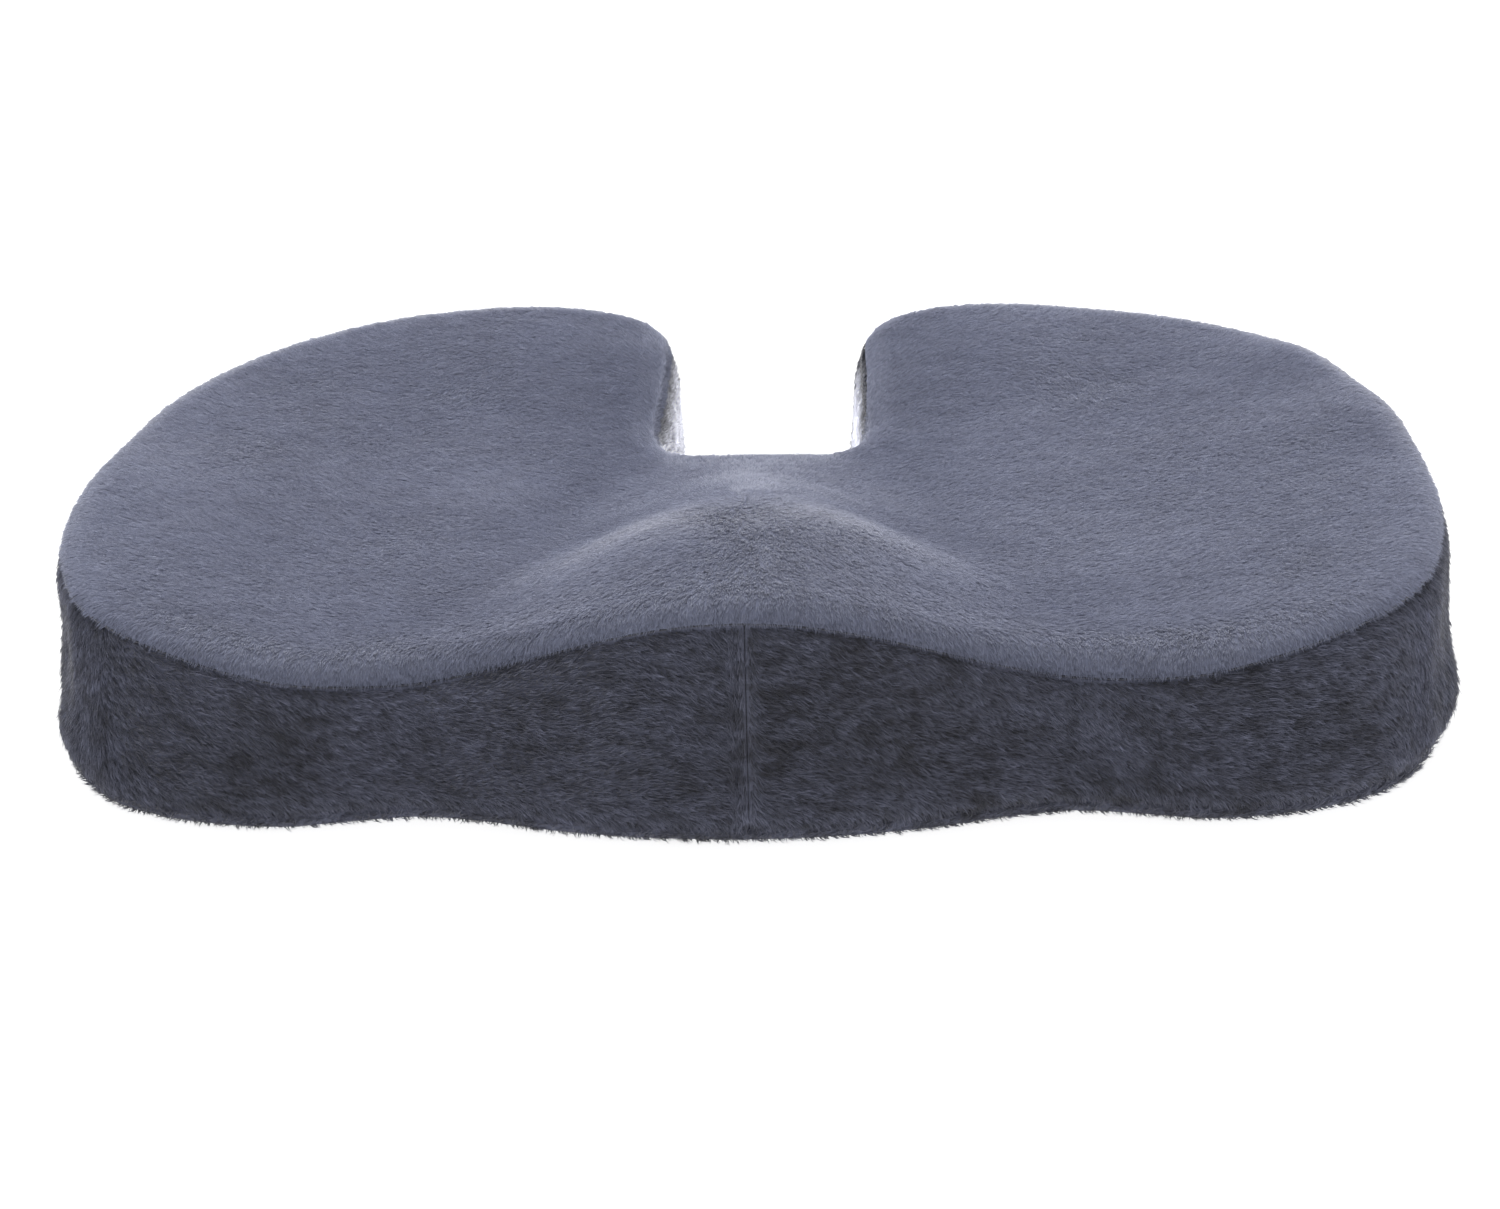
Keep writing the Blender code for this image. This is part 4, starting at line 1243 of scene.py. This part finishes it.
def swept_mesh(name, centres, across, upward, profile, closed):
    """Tube along the centres. The profile's points are measured across and upward."""
    ring = across[:, None] * profile[None, :, :1] + upward[:, None] * profile[None, :, 1:]
    points = centres[:, None] + ring
    rows = grid_index(points)
    index = np.concatenate([rows, rows[:, :1]], axis=1)
    if closed:
        index = np.concatenate([index, index[:1]])
    faces = grid_quads(index).tolist()
    if not closed:
        faces += [rows[0].tolist(), rows[-1, ::-1].tolist()]
    mesh = new_mesh(name, points, faces)
    bm = bmesh.new()
    bm.from_mesh(mesh)
    bmesh.ops.recalc_face_normals(bm, faces=bm.faces)
    bm.to_mesh(mesh)
    bm.free()
    return mesh


def swept_wire(name, centres, beside, radius, sides, closed=False):
    """Round wire along the centres, whose profile starts near to the direction beside."""
    ahead = unit(steps_along(centres, closed))
    across = laid_along(np.broadcast_to(beside, centres.shape), ahead)
    turn = np.arange(sides) / sides * 2 * math.pi
    profile = radius * np.stack([np.cos(turn), np.sin(turn)], axis=-1)
    return swept_mesh(name, centres, across, np.cross(ahead, across), profile, closed)


def sew(name, node, line, inward, material, closed=False):
    """Thread that dives into the cloth between its stitches."""
    phase = (np.arange(len(line)) % STITCH_POINTS) / STITCH_POINTS
    dip = STITCH_DIP * (1 - np.sin(phase * math.pi))
    centres = line + inward * dip[:, None]
    mesh = swept_wire(name, centres, inward, THREAD_RADIUS, STITCH_SIDES, closed)
    mount(new_object(name, mesh, material), "thread", node)


def stitch_steps(length):
    """Points of whole stitches along a length."""
    return int(length / STITCH) * STITCH_POINTS


def build_seam_threads(material):
    for name, seam in (("top", TOP_SEAM), ("bottom", BOTTOM_SEAM)):
        count = stitch_steps(seam.length)
        fraction = np.arange(count) / count
        outward = seam.out(fraction)
        line = seam.at(fraction, -THREAD_DEPTH - (ROLL_IN if seam is BOTTOM_SEAM else 0.0))
        line += PUFF_SHARE * PADDING.at(line)[:, None] * outward
        sew(f"{name}_seam_stitches", f"{name}_seam_thread", line, -outward, material, closed=True)
    for name, column in (("front", UPRIGHT_SEAM_COLUMN), ("cutout", BAND_COLUMNS // 2)):
        fraction = column / BAND_COLUMNS
        node = f"{name}_seam_thread"
        low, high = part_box(node)
        steps = stitch_steps(high.z - low.z) + 1
        line = np.repeat(TOP_SEAM.at(fraction, -THREAD_DEPTH)[None], steps, axis=0)
        line[:, 2] = np.linspace(low.z, high.z, steps)
        sew(f"{name}_seam_stitches", node, line, -TOP_SEAM.out(fraction), material)


# --- zip


def build_zip_welt(material):
    """The underside's folded edge round the zip: down into the recess and in over the tape."""
    x = np.linspace(-1, 1, WELT_STEPS[0]) * (RECESS_HALF_LENGTH - WELT_CORNER)
    y = np.linspace(-1, 1, WELT_STEPS[1]) * (RECESS_HALF_WIDTH - WELT_CORNER)
    front = np.stack([x, np.full_like(x, -RECESS_HALF_WIDTH), 0 * x], axis=-1)
    right = np.stack([np.full_like(y, RECESS_HALF_LENGTH), y, 0 * y], axis=-1)
    centres = np.concatenate([front, right, -front, -right]) + (0.0, ZIP_Y, 0.0)
    across = unit(np.cross(steps_along(centres, closed=True), UP))
    upward = np.broadcast_to(UP, centres.shape)
    profile = np.array(WELT_PROFILE_MM) * MM
    mesh = swept_mesh("zip_welt", centres, across, upward, profile, closed=True)
    mount(new_object("zip_welt", mesh, material), "foot_plush")


def build_coils(material):
    """Two nylon coils whose loops face each other across the slider's path."""
    for end, side in (("front", -1), ("rear", 1)):
        low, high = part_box(f"zip_coil_{end}")
        middle, half = (low + high) / 2, (high - low) / 2
        turns = int(2 * half.x / COIL_PITCH)
        turn = np.arange(turns * COIL_POINTS) / COIL_POINTS * 2 * math.pi
        reach = half.y + COIL_HEAD - COIL_WIRE
        x = low.x + COIL_WIRE + turn / (2 * math.pi) * COIL_PITCH
        y = middle.y - side * COIL_HEAD / 2 + reach * np.cos(turn)
        z = middle.z + (half.z - COIL_WIRE) * np.sin(turn) * side
        centres = np.stack([x, y, z], axis=-1)
        name = f"coil_{end}"
        mesh = swept_wire(name, centres, np.array([1.0, 0.0, 0.0]), COIL_WIRE, COIL_SIDES)
        mount(new_object(name, mesh, material), "zip_coil", f"zip_coil_{end}")


def build_tapes(material):
    """Woven tapes with a raised cord beside the coil and fine ribs along them."""
    for end, side in (("front", -1), ("rear", 1)):
        low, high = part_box(f"zip_tape_{end}")
        beside_coil, outermost = (low.y, high.y) if side > 0 else (high.y, low.y)
        y = np.linspace(ZIP_Y + side * TAPE_NEAREST, outermost, TAPE_COLUMNS)
        share = (y - beside_coil) / (outermost - beside_coil)
        ribs = RIB_HEIGHT * np.cos(share * TAPE_RIBS * 2 * math.pi)
        under_coil = TAPE_UNDER_COIL * smoothstep(-share / COIL_BED)
        cord = CORD_HEIGHT * np.exp(-(((share - CORD_PLACE) / CORD_WIDTH) ** 2))
        grid = np.zeros((TAPE_ROWS, TAPE_COLUMNS, 3))
        grid[..., 0] = np.linspace(low.x, high.x, TAPE_ROWS)[:, None]
        grid[..., 1] = y
        sway = SWAY_HEIGHT * noise_at(grid, SWAY_SIZE, 6) * smoothstep(share / SWAY_START)
        grid[..., 2] = low.z - cord - ribs + sway + under_coil + TAPE_DEPTH
        if side > 0:
            grid = grid[:, ::-1]  # so that both tapes face down
        mesh = new_mesh(f"tape_{end}", grid, grid_quads(grid_index(grid)).tolist())
        tape = thickened(new_object(f"tape_{end}", mesh, material), TAPE_THICKNESS)
        mount(tape, "zip_tape", f"zip_tape_{end}")


def build_zip_stitches(material):
    for end in ("front", "rear"):
        node = f"zip_stitch_{end}"
        low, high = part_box(node)
        line = np.zeros((stitch_steps(high.x - low.x) + 1, 3))
        line[:, 0] = np.linspace(low.x, high.x, len(line))
        line[:, 1] = (low.y + high.y) / 2
        line[:, 2] = high.z
        sew(f"zip_stitches_{end}", node, line, UP, material)


# --- foam


def build_foam():
    """Moulded foam block, slack of the cover, with its open-cell skin."""
    foam = remeshed_node("foam_block", "foam_core", FOAM_VOXEL)
    points = read_vectors(foam.data)
    normals = read_vectors(foam.data, "normal")
    slack = FOAM_CELL_DEPTH * noise_at(points, FOAM_CELL_SIZE, 8) - FOAM_SLACK
    points += normals * (slack + unevenness(points))[:, None]
    nearest, inside = BOTTOM_SEAM.nearest_in_plan(points)
    squeezed = rolled_off(points[:, 2], ROLL_HEIGHT + FOOT_RADIUS, ROLL_IN + FOAM_SLACK)
    squeezed *= smoothstep(2 - inside / ROLL_HEIGHT)
    points -= BOTTOM_SEAM.outward[nearest] * squeezed[:, None]
    foam.data.vertices.foreach_set("co", points.astype(np.float32).ravel())
    foam.data.materials.clear()
    foam.data.materials.append(foam_material())
    foam.data.shade_smooth()
    mount(foam, "foam", "foam_core")


# --- floor, lights and camera


def build_floor():
    bpy.ops.mesh.primitive_plane_add(size=FLOOR_SIZE)
    floor = bpy.context.object
    floor.name = "floor"
    recipe = Recipe(
        "pale_floor",
        Roughness=1.0,
        Base_Color=FLOOR_GREY,
        Emission_Color=WHITE,
        Emission_Strength=FLOOR_GLOW,
    )
    floor.data.materials.append(recipe.material)


def build_lights():
    for name, place, size, power in LIGHTS:
        data = bpy.data.lights.new(name, "AREA")
        data.size = size
        data.energy = power
        lamp = new_object(name, data)
        lamp.location = place
        lamp.rotation_mode = "QUATERNION"
        lamp.rotation_quaternion = (-Vector(place)).to_track_quat("-Z", "Y")
    world = bpy.data.worlds.new("studio")
    bpy.context.scene.world = world
    world.use_nodes = True
    sky = world.node_tree.nodes["Background"]
    sky.inputs["Color"].default_value = WHITE
    sky.inputs["Strength"].default_value = SKY_STRENGTH
    bpy.context.scene.view_settings.view_transform = "Standard"


def build_camera():
    data = bpy.data.cameras.new("camera")
    data.lens = LENS_MM
    data.sensor_width = SENSOR_WIDTH_MM
    data.shift_x, data.shift_y = LENS_SHIFT
    camera = new_object("camera", data)
    level = math.cos(VIEW_ELEVATION)
    back = Vector(
        (math.sin(VIEW_AZIMUTH) * level, -math.cos(VIEW_AZIMUTH) * level, math.sin(VIEW_ELEVATION))
    )
    facing = (-back).to_track_quat("-Z", "Y").to_matrix().to_4x4()
    roll = Matrix.Rotation(-VIEW_ROLL, 4, "Z")
    camera.matrix_world = Matrix.Translation(back * VIEW_DISTANCE) @ facing @ roll
    bpy.context.scene.camera = camera


build_top()
build_bands()
build_underside()
THREAD = thread_material()
build_seam_threads(THREAD)
build_zip_welt(plush_material("welt_plush", BAND_LIGHT, BAND_DARK))
build_coils(nylon_material())
build_tapes(tape_material())
build_zip_stitches(THREAD)
finish_metal_nodes()
build_foam()
build_floor()
build_lights()
build_camera()
